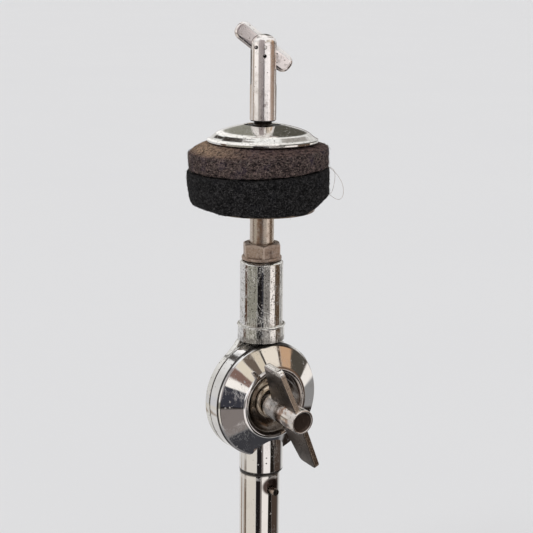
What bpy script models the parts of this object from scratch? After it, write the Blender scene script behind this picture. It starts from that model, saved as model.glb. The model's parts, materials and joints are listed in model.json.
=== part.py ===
# Top section of a cymbal stand: a disc-type tilter with a wing screw, carrying a
# rod with two felts, a domed washer and a flip-top toggle post.
# Metres, +Z up the tube. The tilt axis runs along Y and the wing screw points to -Y.
# The origin is at the lower end of the tube, on its axis.

from math import acos, atan2, cos, hypot, pi, radians, sin, tan

import bmesh
import bpy
from mathutils import Matrix, Vector

# Clearances
FIT = 0.0003                # between pieces that touch
SWING_GAP = 0.0005          # between one disc half and what passes round the other

# Upper tube and the pin that holds it on the tilter's spigot
TUBE_RADIUS = 0.0069
TUBE_WALL = 0.0013
TUBE_LENGTH = 0.080
PIN_RADIUS = 0.00115
PIN_DROP = 0.0056           # pin's axis below the collar
PIN_STANDOUT = 0.0034       # pin's front end beyond the tube
PIN_CHAMFER = 0.0003

# Lower half of the disc joint, with the collar over the tube
DISC_RADIUS = 0.0198
COLLAR_DROP = 0.0257        # collar's lower face below the tilt axis
COLLAR_RADIUS = 0.00745
COLLAR_OFFSET = 0.0007      # collar's axis in front of the tube's
COLLAR_EDGE = 0.0006
SPIGOT_LENGTH = 0.016
BASE_RIM = 0.0049           # thickness of the rim of the front half
RIM_EDGE = 0.0005
CREST_RADIUS = 0.0119
CREST_RISE = 0.0046         # crest in front of the rim
BOWL_DEPTH = 0.0033
BOWL_FLOOR_RADIUS = 0.0064

# Friction disc between the halves
FRICTION_RADIUS = 0.0150
FRICTION_THICKNESS = 0.0014
JOINT_GAP = 0.0005          # dark line between the rims

# Upper half of the disc joint, with the neck and the socket of the rod
ARM_RIM = 0.0030
BACK_RISE = 0.0040          # back boss behind the rim
BACK_BOSS_RADIUS = 0.0105
SHOULDER_RADIUS = 0.0090
SHOULDER_DROP = 0.0030      # widest level of the shoulder below the ring
RING_ABOVE = 0.0017         # ring's lower face above the rim of the discs
RING_RADIUS = 0.0078
RING_HEIGHT = 0.0045
RING_LIP = 0.0003
SOCKET_RADIUS = 0.0072
SOCKET_LENGTH = 0.0214
SOCKET_EDGE = 0.0006
ROD_SET = 0.018             # depth of the rod in its socket

# Wing screw
STUD_RADIUS = 0.0030
SHANK_RADIUS = 0.0019
SHANK_LENGTH = 0.0110
STUD_SHORT = 0.0006         # stud's back end inside the back boss
WING_WASHER_RADIUS = 0.0058
WING_WASHER_THICKNESS = 0.0008
BARREL_RADIUS = 0.0042
BARREL_LENGTH = 0.0174
BARREL_EDGE = 0.0004
BARREL_DISH = 0.0005        # depth of the hollow in the barrel's end
WING_REACH = 0.0205         # from the axis to a wing's tip
WING_ROOT_START = 0.0016    # wing's back corner at the barrel, from the barrel's foot
WING_TIP_START = 0.0070     # wing's back corner at the tip, from the barrel's foot
WING_END_SHORT = 0.0006     # wing's front edge behind the barrel's end
WING_TIP_SHORT = 0.0016     # front corner of the tip behind the barrel's end
WING_THICKNESS = 0.0020
WING_CORNER = 0.0014
WING_EDGE = 0.0004
WING_ANGLE = radians(25)    # upper wing leans to the left, seen from the front
WING_DROOP = radians(4)     # the loosened screw hangs in its thread
THREAD_BACK = 0.006         # point that it hangs from, behind the friction disc's middle

# Rod, lock nut and lock washer
ROD_RADIUS = 0.0040
ROD_EXPOSED = 0.0107        # bare rod between the nut and the seat washer
THREAD_RADIUS = 0.0030      # reduced upper end of the rod
NUT_FLATS = 0.0116
NUT_HEIGHT = 0.0041
NUT_ANGLE = radians(32)
LOCK_WASHER_RADIUS = 0.00665
LOCK_WASHER_THICKNESS = 0.0012
LOCK_WASHER_EDGE = 0.0004

# Cymbal seat: washer, felts, sleeve and domed top washer
SEAT_WASHER_RADIUS = 0.0180
SEAT_WASHER_THICKNESS = 0.0010
SLEEVE_RADIUS = 0.0054
SLEEVE_SHORT = 0.0004       # sleeve's top inside the domed washer's hole
LOWER_FELT_RADIUS = 0.02335
LOWER_FELT_HEIGHT = 0.01215
LOWER_FELT_ROUND = 0.0012
LOWER_FELT_UNDER_ROUND = 0.0030
FELT_SHIFT = 0.00145        # both felts have slipped to one side of the sleeve
FELT_SHIFT_ANGLE = radians(146)
UPPER_FELT_RADIUS = 0.0230
UPPER_FELT_HEIGHT = 0.0084
UPPER_FELT_ROUND = 0.0030
UPPER_FELT_UNDER_ROUND = 0.0012
DOME_RADIUS = 0.0181
DOME_CLEARANCE = 0.0007     # between the sleeve and the domed washer's hole
DOME_RISE = 0.0056
DOME_CROWN = 1.7            # 1 is a plain cone, more is rounder
DOME_LIP = 0.0023           # width of the lip round the dome
DOME_LIP_RISE = 0.0012
DOME_THICKNESS = 0.0008

# Toggle post and lever
POST_GAP = 0.0011           # post's lower face above the domed washer
POST_RADIUS = 0.0043
POST_LENGTH = 0.0277
POST_DOME = 0.0030
POST_EDGE = 0.0004
POST_WEB = 0.0015           # metal between the slot and the thread below it
SLOT_ANGLE = radians(-28)   # slot's direction from +X
PIVOT_DROP = 0.0041         # pivot below the top of the post
PIVOT_RADIUS = 0.0006
LEVER_LENGTH = 0.0216
LEVER_WIDTH = 0.0062
LEVER_THICKNESS = 0.0026
LEVER_CORNER = 0.0027
LEVER_EDGE = 0.0007
LEVER_TILT = radians(37.7)  # right-hand end below the level
SLOT_SPARE = 0.0011         # below the lever's end when it stands upright
DETENT_DISTANCE = 0.0027    # from the pivot
DETENT_HOLE_RADIUS = 0.00055
DETENT_BALL_RADIUS = 0.0007
DETENT_WEB = 0.0004         # metal behind the ball's pocket

# Facets
DISC_STEPS = 56
ROUND_STEPS = 40
SMALL_STEPS = 20
ARC_STEPS = 4
BOWL_STEPS = 5
DOME_STEPS = 6
SHARP_ANGLE = radians(32)
WELD = 0.00001
PAST = 0.004                # how far a cutter runs past what it cuts
SINK = 0.0002               # how far a joined shape reaches into its neighbour

# Heights above the tilt axis, worked out from the pieces below
TILT_HEIGHT = TUBE_LENGTH + FIT + COLLAR_DROP
RING_BOTTOM = DISC_RADIUS + RING_ABOVE
SHOULDER_HEIGHT = RING_BOTTOM - SHOULDER_DROP
SOCKET_TOP = RING_BOTTOM + RING_HEIGHT + SOCKET_LENGTH
LOCK_WASHER_BOTTOM = SOCKET_TOP + FIT
NUT_BOTTOM = LOCK_WASHER_BOTTOM + LOCK_WASHER_THICKNESS + FIT
ROD_SHOULDER = NUT_BOTTOM + NUT_HEIGHT + ROD_EXPOSED
SEAT_WASHER_BOTTOM = ROD_SHOULDER + FIT
SEAT_TOP = SEAT_WASHER_BOTTOM + SEAT_WASHER_THICKNESS
LOWER_FELT_BOTTOM = SEAT_TOP + FIT
UPPER_FELT_BOTTOM = LOWER_FELT_BOTTOM + LOWER_FELT_HEIGHT + FIT
DOME_BOTTOM = UPPER_FELT_BOTTOM + UPPER_FELT_HEIGHT + FIT
POST_BOTTOM = DOME_BOTTOM + DOME_RISE + POST_GAP
POST_TOP = POST_BOTTOM + POST_LENGTH
PIVOT_HEIGHT = POST_TOP - PIVOT_DROP
DOME_HOLE_RADIUS = SLEEVE_RADIUS + DOME_CLEARANCE
FELT_HOLE_RADIUS = SLEEVE_RADIUS + FELT_SHIFT + FIT
FELT_X = FELT_SHIFT * cos(FELT_SHIFT_ANGLE)
FELT_Y = FELT_SHIFT * sin(FELT_SHIFT_ANGLE)
SLOT_WIDTH = LEVER_THICKNESS + 2 * FIT
SLOT_BOTTOM = PIVOT_HEIGHT - LEVER_LENGTH / 2 - SLOT_SPARE

# Distances in front of the middle of the friction disc, along -Y
POCKET_FLOOR = FRICTION_THICKNESS / 2 + FIT
ARM_FACE = -POCKET_FLOOR
BASE_FACE = ARM_FACE + JOINT_GAP
BASE_RIM_FRONT = BASE_FACE + BASE_RIM
CREST = BASE_RIM_FRONT + CREST_RISE
BOWL_FLOOR = CREST - BOWL_DEPTH
WING_WASHER_FOOT = BOWL_FLOOR + FIT
WING_WASHER_TOP = WING_WASHER_FOOT + WING_WASHER_THICKNESS
ARM_RIM_BACK = ARM_FACE - ARM_RIM
ARM_BACK = ARM_RIM_BACK - BACK_RISE

# Along the hanging screw, whose foot just clears its washer
DROOP_AT_MIDDLE = THREAD_BACK * tan(WING_DROOP)
BARREL_FOOT = (WING_WASHER_TOP + FIT + BARREL_RADIUS * sin(WING_DROOP)) / cos(WING_DROOP)

FACING_FRONT = (pi / 2, 0, 0)    # turns a piece made along +Z to lie along -Y


def clear_scene():
    for item in list(bpy.data.objects):
        bpy.data.objects.remove(item, do_unlink=True)


def new_collection(name):
    collection = bpy.data.collections.new(name)
    bpy.context.scene.collection.children.link(collection)
    return collection


def link(item, collection):
    for holder in list(item.users_collection):
        holder.objects.unlink(item)
    collection.objects.link(item)
    return item


def empty(name, parent=None, location=(0, 0, 0), rotation=(0, 0, 0)):
    item = bpy.data.objects.new(name, None)
    item.empty_display_size = 0.01
    PARTS.objects.link(item)
    item.parent = parent
    item.location = location
    item.rotation_euler = rotation
    return item


def metal(name, colour, roughness, metallic=1.0):
    material = bpy.data.materials.new(name)
    material.use_nodes = True
    shader = material.node_tree.nodes["Principled BSDF"]
    shader.inputs["Base Color"].default_value = (*colour, 1)
    shader.inputs["Roughness"].default_value = roughness
    shader.inputs["Metallic"].default_value = metallic
    material.diffuse_color = (*colour, 1)
    return material


def place(item, parent=None, location=(0, 0, 0), rotation=(0, 0, 0)):
    item.parent = parent
    item.location = location
    item.rotation_euler = rotation
    return item


def evaluated_mesh(item):
    graph = bpy.context.evaluated_depsgraph_get()
    mesh = bpy.data.meshes.new_from_object(item.evaluated_get(graph))
    shape = bmesh.new()
    shape.from_mesh(mesh)
    bmesh.ops.remove_doubles(shape, verts=shape.verts, dist=WELD)
    bmesh.ops.recalc_face_normals(shape, faces=shape.faces)
    shape.to_mesh(mesh)
    shape.free()
    return mesh


def arc_angles(start, end, steps=ARC_STEPS):
    return [start + (end - start) * step / steps for step in range(steps + 1)]


def arc(centre_r, centre_z, radius, start, end):
    return [(centre_r + radius * cos(angle), centre_z + radius * sin(angle))
            for angle in arc_angles(start, end)]


def turned(name, profile, steps=ROUND_STEPS, ring=False):
    # The profile gives (radius, height) from the top down the outer side.
    mesh = bpy.data.meshes.new(name)
    edges = [(index, index + 1) for index in range(len(profile) - 1)]
    if ring:
        edges.append((len(profile) - 1, 0))
    mesh.from_pydata([(radius, 0, height) for radius, height in profile], edges, [])
    item = bpy.data.objects.new(name, mesh)
    PARTS.objects.link(item)
    screw = item.modifiers.new("Turn", 'SCREW')
    screw.steps = steps
    screw.render_steps = steps
    screw.use_merge_vertices = True
    screw.merge_threshold = WELD
    item.data = evaluated_mesh(item)
    item.modifiers.clear()
    return item


def rod(name, radius, bottom, top, steps=ROUND_STEPS, edge=0.0):
    profile = [(0, top), (radius - edge, top), (radius, top - edge)]
    profile += [(radius, bottom + edge), (radius - edge, bottom), (0, bottom)]
    if edge == 0:
        profile = [(0, top), (radius, top), (radius, bottom), (0, bottom)]
    return turned(name, profile, steps)


def washer(name, radius, hole, bottom, top, edge, steps=ROUND_STEPS):
    profile = [(hole, top), (radius - edge, top), (radius, top - edge)]
    profile += [(radius, bottom + edge), (radius - edge, bottom), (hole, bottom)]
    return turned(name, profile, steps, ring=True)


def block(name, size):
    bpy.ops.mesh.primitive_cube_add(size=1)
    item = link(bpy.context.object, PARTS)
    item.name = name
    item.data.transform(Matrix.Diagonal((*size, 1)))
    return item


def rounded_outline(corners):
    # Each corner is (x, y, radius), and its round is an arc.
    points = []
    for index, (x, y, radius) in enumerate(corners):
        corner = Vector((x, y))
        before = (Vector(corners[index - 1][:2]) - corner).normalized()
        after = (Vector(corners[(index + 1) % len(corners)][:2]) - corner).normalized()
        half = before.angle(after) / 2
        centre = corner + (before + after).normalized() * radius / sin(half)
        start = corner + before * radius / tan(half) - centre
        end = corner + after * radius / tan(half) - centre
        turn = start.angle(end)
        if start.x * end.y < start.y * end.x:
            turn = -turn
        for step in range(ARC_STEPS + 1):
            points.append(centre + Matrix.Rotation(turn * step / ARC_STEPS, 2) @ start)
    return points


def plate(name, outline, thickness, edge):
    # A flat piece in the XY plane, half its thickness either side, with rounded edges.
    curve = bpy.data.curves.new(name, 'CURVE')
    curve.dimensions = '2D'
    curve.fill_mode = 'BOTH'
    curve.extrude = thickness / 2 - edge
    curve.bevel_depth = edge
    curve.bevel_resolution = 1
    curve.offset = -edge
    spline = curve.splines.new('POLY')
    spline.points.add(len(outline) - 1)
    for point, place_of_point in zip(spline.points, outline):
        point.co = (*place_of_point, 0, 1)
    spline.use_cyclic_u = True
    flat = bpy.data.objects.new(name + "_outline", curve)
    PARTS.objects.link(flat)
    item = bpy.data.objects.new(name, evaluated_mesh(flat))
    PARTS.objects.link(item)
    bpy.data.objects.remove(flat)
    return item


def combine(item, tool, operation):
    # The tool is kept, hidden, with the cutters.
    link(tool, CUTTERS)
    tool.hide_render = True
    tool.display_type = 'WIRE'
    boolean = item.modifiers.new(tool.name, 'BOOLEAN')
    boolean.operation = operation
    boolean.solver = 'EXACT'
    boolean.object = tool


def add(item, tool):
    combine(item, tool, 'UNION')


def cut(item, tool):
    combine(item, tool, 'DIFFERENCE')


def finish(item, material):
    # Fixes the shape, and shades what is round smoothly.
    mesh = evaluated_mesh(item)
    item.modifiers.clear()
    item.data = mesh
    mesh.name = item.name
    mesh.materials.clear()
    mesh.materials.append(material)
    mesh.shade_smooth()
    mesh.set_sharp_from_angle(angle=SHARP_ANGLE)
    return item


def stud_bore(back, front):
    # Radius of a hole that clears the hanging stud between two distances along the screw.
    swing = max(abs(back + THREAD_BACK), abs(front + THREAD_BACK)) * tan(WING_DROOP)
    return STUD_RADIUS / cos(WING_DROOP) + swing + FIT


def make_tube():
    bore = TUBE_RADIUS - TUBE_WALL
    profile = [(bore, TUBE_LENGTH), (TUBE_RADIUS, TUBE_LENGTH), (TUBE_RADIUS, 0), (bore, 0)]
    tube = turned("upper_tube", profile, ring=True)
    reach = TUBE_RADIUS + PAST
    hole = rod("tube_pin_hole", PIN_RADIUS + FIT, -reach, reach, SMALL_STEPS)
    place(hole, None, (0, 0, TUBE_LENGTH - PIN_DROP), FACING_FRONT)
    cut(tube, hole)
    return tube


def make_tube_pin():
    pin = rod("tube_pin", PIN_RADIUS, -TUBE_RADIUS, TUBE_RADIUS + PIN_STANDOUT, SMALL_STEPS, PIN_CHAMFER)
    return place(pin, None, (0, 0, TUBE_LENGTH - PIN_DROP), FACING_FRONT)


def make_base(axis):
    profile = [(0, BOWL_FLOOR)]
    bowl_width = CREST_RADIUS - BOWL_FLOOR_RADIUS
    for angle in arc_angles(0, pi / 2, BOWL_STEPS):
        radius = BOWL_FLOOR_RADIUS + bowl_width * sin(angle)
        profile.append((radius, BOWL_FLOOR + BOWL_DEPTH * (1 - cos(angle))))
    slope = CREST_RISE / (DISC_RADIUS - CREST_RADIUS)
    profile += [(DISC_RADIUS - RIM_EDGE, BASE_RIM_FRONT + RIM_EDGE * slope)]
    profile += [(DISC_RADIUS, BASE_RIM_FRONT - RIM_EDGE), (DISC_RADIUS, BASE_FACE), (0, BASE_FACE)]
    base = place(turned("tilter_base", profile, DISC_STEPS), axis, rotation=FACING_FRONT)

    collar_top = -CREST_RADIUS - RIM_EDGE
    collar_profile = [(0, collar_top), (COLLAR_RADIUS, collar_top)]
    collar_profile += [(COLLAR_RADIUS, -COLLAR_DROP + COLLAR_EDGE)]
    collar_profile += [(COLLAR_RADIUS - COLLAR_EDGE, -COLLAR_DROP), (0, -COLLAR_DROP)]
    collar = place(turned("collar", collar_profile), axis, (0, -COLLAR_OFFSET, 0))
    swing = rod("collar_swing_cut", DISC_RADIUS + SWING_GAP, BASE_FACE - COLLAR_RADIUS - PAST,
                BASE_FACE + SINK, DISC_STEPS)
    cut(collar, place(swing, axis, rotation=FACING_FRONT))
    add(base, collar)

    spigot_radius = TUBE_RADIUS - TUBE_WALL - FIT
    spigot = rod("spigot", spigot_radius, -COLLAR_DROP - SPIGOT_LENGTH, -COLLAR_DROP + PAST,
                 edge=COLLAR_EDGE)
    add(base, place(spigot, axis))

    pocket = rod("friction_pocket", FRICTION_RADIUS + FIT, BASE_FACE - PAST, POCKET_FLOOR, DISC_STEPS)
    cut(base, place(pocket, axis, rotation=FACING_FRONT))
    bore_radius = stud_bore(BASE_FACE, BOWL_FLOOR)
    bore = rod("base_bore", bore_radius, BASE_FACE - PAST, CREST + PAST, SMALL_STEPS)
    cut(base, place(bore, axis, rotation=FACING_FRONT))
    reach = spigot_radius + PAST
    hole = rod("spigot_pin_hole", PIN_RADIUS + FIT, -reach, reach, SMALL_STEPS)
    cut(base, place(hole, axis, (0, 0, -COLLAR_DROP - FIT - PIN_DROP), FACING_FRONT))
    return base


def make_friction_disc(axis):
    half = FRICTION_THICKNESS / 2
    hole = stud_bore(-half, half)
    disc = washer("friction_disc", FRICTION_RADIUS, hole, -half, half, half / 4, DISC_STEPS)
    return place(disc, axis, rotation=FACING_FRONT)


def make_arm(axis):
    profile = [(0, ARM_FACE), (DISC_RADIUS, ARM_FACE), (DISC_RADIUS, ARM_RIM_BACK + RIM_EDGE)]
    profile += [(DISC_RADIUS - RIM_EDGE, ARM_RIM_BACK)]
    profile += [(BACK_BOSS_RADIUS, ARM_BACK), (0, ARM_BACK)]
    arm = place(turned("tilter_arm", profile, DISC_STEPS), axis, rotation=FACING_FRONT)

    ring_top = RING_BOTTOM + RING_HEIGHT
    neck_profile = [(0, SOCKET_TOP), (SOCKET_RADIUS - SOCKET_EDGE, SOCKET_TOP)]
    neck_profile += [(SOCKET_RADIUS, SOCKET_TOP - SOCKET_EDGE), (SOCKET_RADIUS, ring_top)]
    neck_profile += [(RING_RADIUS, ring_top), (RING_RADIUS + RING_LIP, ring_top - RING_LIP)]
    neck_profile += [(RING_RADIUS, ring_top - 2 * RING_LIP), (RING_RADIUS, RING_BOTTOM)]
    neck_profile += [(SHOULDER_RADIUS * cos(angle), SHOULDER_HEIGHT * (1 - sin(angle)))
                     for angle in (0, pi / 12, pi / 6, pi / 4, pi / 3)]
    neck_profile += [(0, SHOULDER_HEIGHT * (1 - sin(pi / 3)))]
    neck = place(turned("neck", neck_profile), axis)
    depth = SHOULDER_RADIUS + PAST
    room = block("front_half_room", (2 * depth, depth, RING_BOTTOM + SINK))
    cut(neck, place(room, axis, (0, SINK - ARM_FACE - depth / 2, (RING_BOTTOM + SINK) / 2)))
    add(arm, neck)

    # The flare runs from the neck straight on to the rim, on a tangent of the disc.
    top = RING_BOTTOM + SINK
    turn = atan2(SOCKET_RADIUS, top) + acos(DISC_RADIUS / hypot(SOCKET_RADIUS, top))
    foot_x = (DISC_RADIUS - SINK) * sin(turn)
    foot_z = (DISC_RADIUS - SINK) * cos(turn)
    corners = [(-foot_x, foot_z, RIM_EDGE), (foot_x, foot_z, RIM_EDGE)]
    corners += [(SOCKET_RADIUS, top, RIM_EDGE), (-SOCKET_RADIUS, top, RIM_EDGE)]
    flare = plate("flare", rounded_outline(corners), ARM_RIM - 2 * SINK, SINK)
    add(arm, place(flare, axis, (0, ARM_RIM / 2 - ARM_FACE, 0), FACING_FRONT))

    socket = rod("rod_socket", ROD_RADIUS + FIT, SOCKET_TOP - ROD_SET, SOCKET_TOP + PAST)
    cut(arm, place(socket, axis))
    bore_radius = stud_bore(ARM_BACK, ARM_FACE)
    bore = rod("arm_bore", bore_radius, ARM_BACK - PAST, ARM_FACE + PAST, SMALL_STEPS)
    cut(arm, place(bore, axis, rotation=FACING_FRONT))
    return arm


def make_wing_washer(axis):
    edge = WING_WASHER_THICKNESS / 4
    hole = stud_bore(WING_WASHER_FOOT, WING_WASHER_TOP)
    ring = washer("wing_washer", WING_WASHER_RADIUS, hole, WING_WASHER_FOOT, WING_WASHER_TOP, edge)
    return place(ring, axis, rotation=FACING_FRONT)


def make_wing_screw(wing):
    end = BARREL_FOOT + BARREL_LENGTH
    inner = BARREL_RADIUS - 2 * BARREL_EDGE
    profile = [(0, end - BARREL_DISH), (inner - BARREL_DISH, end - BARREL_DISH), (inner, end)]
    profile += [(BARREL_RADIUS - BARREL_EDGE, end), (BARREL_RADIUS, end - BARREL_EDGE)]
    profile += [(BARREL_RADIUS, BARREL_FOOT), (0, BARREL_FOOT)]
    screw = place(turned("wing_screw", profile), wing)

    root_back = BARREL_FOOT + WING_ROOT_START
    tip_back = BARREL_FOOT + WING_TIP_START
    root_front = end - WING_END_SHORT
    tip_front = end - WING_TIP_SHORT
    half = [(0, root_back, WING_EDGE), (WING_REACH, tip_back, WING_CORNER)]
    half += [(WING_REACH, tip_front, WING_CORNER), (0, root_front, WING_EDGE)]
    for side in (1, -1):
        corners = [(side * along, height, radius) for along, height, radius in half]
        if side < 0:
            corners.reverse()
        blade = plate(f"wing_blade_{side}", rounded_outline(corners), WING_THICKNESS, WING_EDGE)
        add(screw, place(blade, wing, rotation=(pi / 2, 0, pi / 2 + WING_ANGLE)))

    hole_end = BARREL_FOOT + SHANK_LENGTH + FIT
    shank_hole = rod("shank_hole", SHANK_RADIUS + FIT, BARREL_FOOT - PAST, hole_end, SMALL_STEPS)
    cut(screw, place(shank_hole, wing))
    return screw


def make_wing_stud(wing):
    shoulder = BARREL_FOOT - FIT
    bottom = ARM_BACK + STUD_SHORT
    top = BARREL_FOOT + SHANK_LENGTH
    profile = [(0, top), (SHANK_RADIUS, top), (SHANK_RADIUS, shoulder), (STUD_RADIUS, shoulder)]
    profile += [(STUD_RADIUS, bottom + PIN_CHAMFER), (STUD_RADIUS - PIN_CHAMFER, bottom), (0, bottom)]
    return place(turned("wing_stud", profile, SMALL_STEPS), wing)


def make_rod(axis):
    bottom = SOCKET_TOP - ROD_SET + FIT
    top = SLOT_BOTTOM - POST_WEB - FIT
    profile = [(0, top), (THREAD_RADIUS - PIN_CHAMFER, top), (THREAD_RADIUS, top - PIN_CHAMFER)]
    profile += [(THREAD_RADIUS, ROD_SHOULDER), (ROD_RADIUS, ROD_SHOULDER)]
    profile += [(ROD_RADIUS, bottom + PIN_CHAMFER), (ROD_RADIUS - PIN_CHAMFER, bottom), (0, bottom)]
    return place(turned("tilter_rod", profile), axis)


def make_lock_washer(axis):
    top = LOCK_WASHER_BOTTOM + LOCK_WASHER_THICKNESS
    hole = ROD_RADIUS + FIT
    lock = washer("lock_washer", LOCK_WASHER_RADIUS, hole, LOCK_WASHER_BOTTOM, top, LOCK_WASHER_EDGE)
    return place(lock, axis)


def make_lock_nut(axis):
    corner = NUT_FLATS / 2 / cos(pi / 6)
    middle = NUT_BOTTOM + NUT_HEIGHT / 2
    bpy.ops.mesh.primitive_cylinder_add(vertices=6, radius=corner, depth=NUT_HEIGHT)
    nut = link(bpy.context.object, PARTS)
    nut.name = "lock_nut"
    place(nut, axis, (0, 0, middle), (0, 0, NUT_ANGLE))
    top = NUT_BOTTOM + NUT_HEIGHT
    chamfer = (corner - NUT_FLATS / 2) * tan(pi / 6)
    wide = corner + PAST
    drop = chamfer + PAST * tan(pi / 6)
    profile = [(0, top + SINK), (NUT_FLATS / 2, top + SINK), (NUT_FLATS / 2, top)]
    profile += [(wide, top - drop), (wide, NUT_BOTTOM - PAST), (0, NUT_BOTTOM - PAST)]
    chamfer_cone = place(turned("nut_chamfer", profile), axis)
    combine(nut, chamfer_cone, 'INTERSECT')
    bore = rod("nut_bore", ROD_RADIUS + FIT, NUT_BOTTOM - PAST, top + PAST)
    cut(nut, place(bore, axis))
    return nut


def make_seat_washer(axis):
    edge = SEAT_WASHER_THICKNESS / 4
    hole = THREAD_RADIUS + FIT
    seat = washer("seat_washer", SEAT_WASHER_RADIUS, hole, SEAT_WASHER_BOTTOM, SEAT_TOP, edge, DISC_STEPS)
    return place(seat, axis)


def felt(name, radius, height, top_round, bottom_round):
    profile = [(FELT_HOLE_RADIUS, height)]
    profile += arc(radius - top_round, height - top_round, top_round, pi / 2, 0)
    profile += arc(radius - bottom_round, bottom_round, bottom_round, 0, -pi / 2)
    profile += [(FELT_HOLE_RADIUS, 0)]
    return turned(name, profile, DISC_STEPS, ring=True)


def make_lower_felt(axis):
    rounds = (LOWER_FELT_ROUND, LOWER_FELT_UNDER_ROUND)
    pad = felt("lower_felt", LOWER_FELT_RADIUS, LOWER_FELT_HEIGHT, *rounds)
    return place(pad, axis, (FELT_X, FELT_Y, LOWER_FELT_BOTTOM))


def make_sleeve(axis):
    bottom = SEAT_TOP + FIT
    top = DOME_BOTTOM + DOME_RISE - SLEEVE_SHORT
    hole = THREAD_RADIUS + FIT
    profile = [(hole, top), (SLEEVE_RADIUS, top), (SLEEVE_RADIUS, bottom), (hole, bottom)]
    return place(turned("cymbal_sleeve", profile, ring=True), axis)


def make_upper_felt(slide):
    rounds = (UPPER_FELT_ROUND, UPPER_FELT_UNDER_ROUND)
    pad = felt("upper_felt", UPPER_FELT_RADIUS, UPPER_FELT_HEIGHT, *rounds)
    return place(pad, slide, (FELT_X, FELT_Y, 0))


def make_top_washer(slide):
    # A crowned dome of even thickness from the hole down to its foot, then a sloping lip.
    span = DOME_RADIUS - DOME_LIP - DOME_HOLE_RADIUS
    rise = DOME_RISE - DOME_THICKNESS - DOME_LIP_RISE
    outer = []
    for step in range(DOME_STEPS + 1):
        share = step / DOME_STEPS
        outer.append((DOME_HOLE_RADIUS + span * share, DOME_RISE - rise * share ** DOME_CROWN))
    under = [(radius, height - DOME_THICKNESS) for radius, height in reversed(outer)]
    edge = DOME_THICKNESS / 4
    profile = outer + [(DOME_RADIUS - edge, DOME_THICKNESS), (DOME_RADIUS, DOME_THICKNESS - edge)]
    profile += [(DOME_RADIUS, edge), (DOME_RADIUS - edge, 0)] + under
    dome = turned("top_washer", profile, DISC_STEPS, ring=True)
    return place(dome, slide, (0, 0, UPPER_FELT_HEIGHT + FIT))


def make_post(axis):
    profile = [(0, POST_TOP)]
    profile += arc(POST_RADIUS - POST_DOME, POST_TOP - POST_DOME, POST_DOME, pi / 2, 0)
    profile += [(POST_RADIUS, POST_BOTTOM + POST_EDGE), (POST_RADIUS - POST_EDGE, POST_BOTTOM)]
    profile += [(0, POST_BOTTOM)]
    post = place(turned("toggle_post", profile), axis, rotation=(0, 0, SLOT_ANGLE))
    height = POST_TOP - SLOT_BOTTOM + PAST
    slot = block("lever_slot", (2 * POST_RADIUS + 2 * PAST, SLOT_WIDTH, height))
    cut(post, place(slot, axis, (0, 0, SLOT_BOTTOM + height / 2), (0, 0, SLOT_ANGLE)))
    thread = rod("post_thread", THREAD_RADIUS + FIT, POST_BOTTOM - PAST, SLOT_BOTTOM - POST_WEB)
    cut(post, place(thread, axis))
    across = (pi / 2, 0, SLOT_ANGLE)
    reach = POST_RADIUS + PAST
    pivot_hole = rod("pivot_hole", PIVOT_RADIUS + FIT, -reach, reach, SMALL_STEPS)
    cut(post, place(pivot_hole, axis, (0, 0, PIVOT_HEIGHT), across))
    sideways = Vector((cos(SLOT_ANGLE), sin(SLOT_ANGLE), 0))
    detents = {"flat": -DETENT_DISTANCE * sideways, "upright": Vector((0, 0, -DETENT_DISTANCE))}
    for name, offset in detents.items():
        hole = rod("detent_" + name, DETENT_HOLE_RADIUS, 0, reach, SMALL_STEPS)
        cut(post, place(hole, axis, offset + Vector((0, 0, PIVOT_HEIGHT)), across))
    return post


def make_toggle_pin(axis):
    reach = POST_RADIUS - FIT
    pin = rod("toggle_pin", PIVOT_RADIUS, -reach, reach, SMALL_STEPS)
    return place(pin, axis, (0, 0, PIVOT_HEIGHT), (pi / 2, 0, SLOT_ANGLE))


def make_lever(toggle):
    x = LEVER_LENGTH / 2
    y = LEVER_WIDTH / 2
    corners = [(across * x, along * y, LEVER_CORNER)
               for across, along in ((-1, -1), (1, -1), (1, 1), (-1, 1))]
    lever = place(plate("toggle_lever", rounded_outline(corners), LEVER_THICKNESS, LEVER_EDGE), toggle)
    reach = LEVER_THICKNESS / 2 + PAST
    cut(lever, place(rod("lever_bore", PIVOT_RADIUS + FIT, -reach, reach, SMALL_STEPS), toggle))
    floor = DETENT_WEB - LEVER_THICKNESS / 2
    pocket = rod("ball_pocket", DETENT_BALL_RADIUS + FIT, floor, reach, SMALL_STEPS)
    cut(lever, place(pocket, toggle, (-DETENT_DISTANCE, 0, 0)))
    return lever


def make_detent_ball(toggle):
    bpy.ops.mesh.primitive_uv_sphere_add(segments=12, ring_count=8, radius=DETENT_BALL_RADIUS)
    ball = link(bpy.context.object, PARTS)
    ball.name = "detent_ball"
    return place(ball, toggle, (-DETENT_DISTANCE, 0, LEVER_THICKNESS / 2 - DETENT_BALL_RADIUS))


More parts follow.
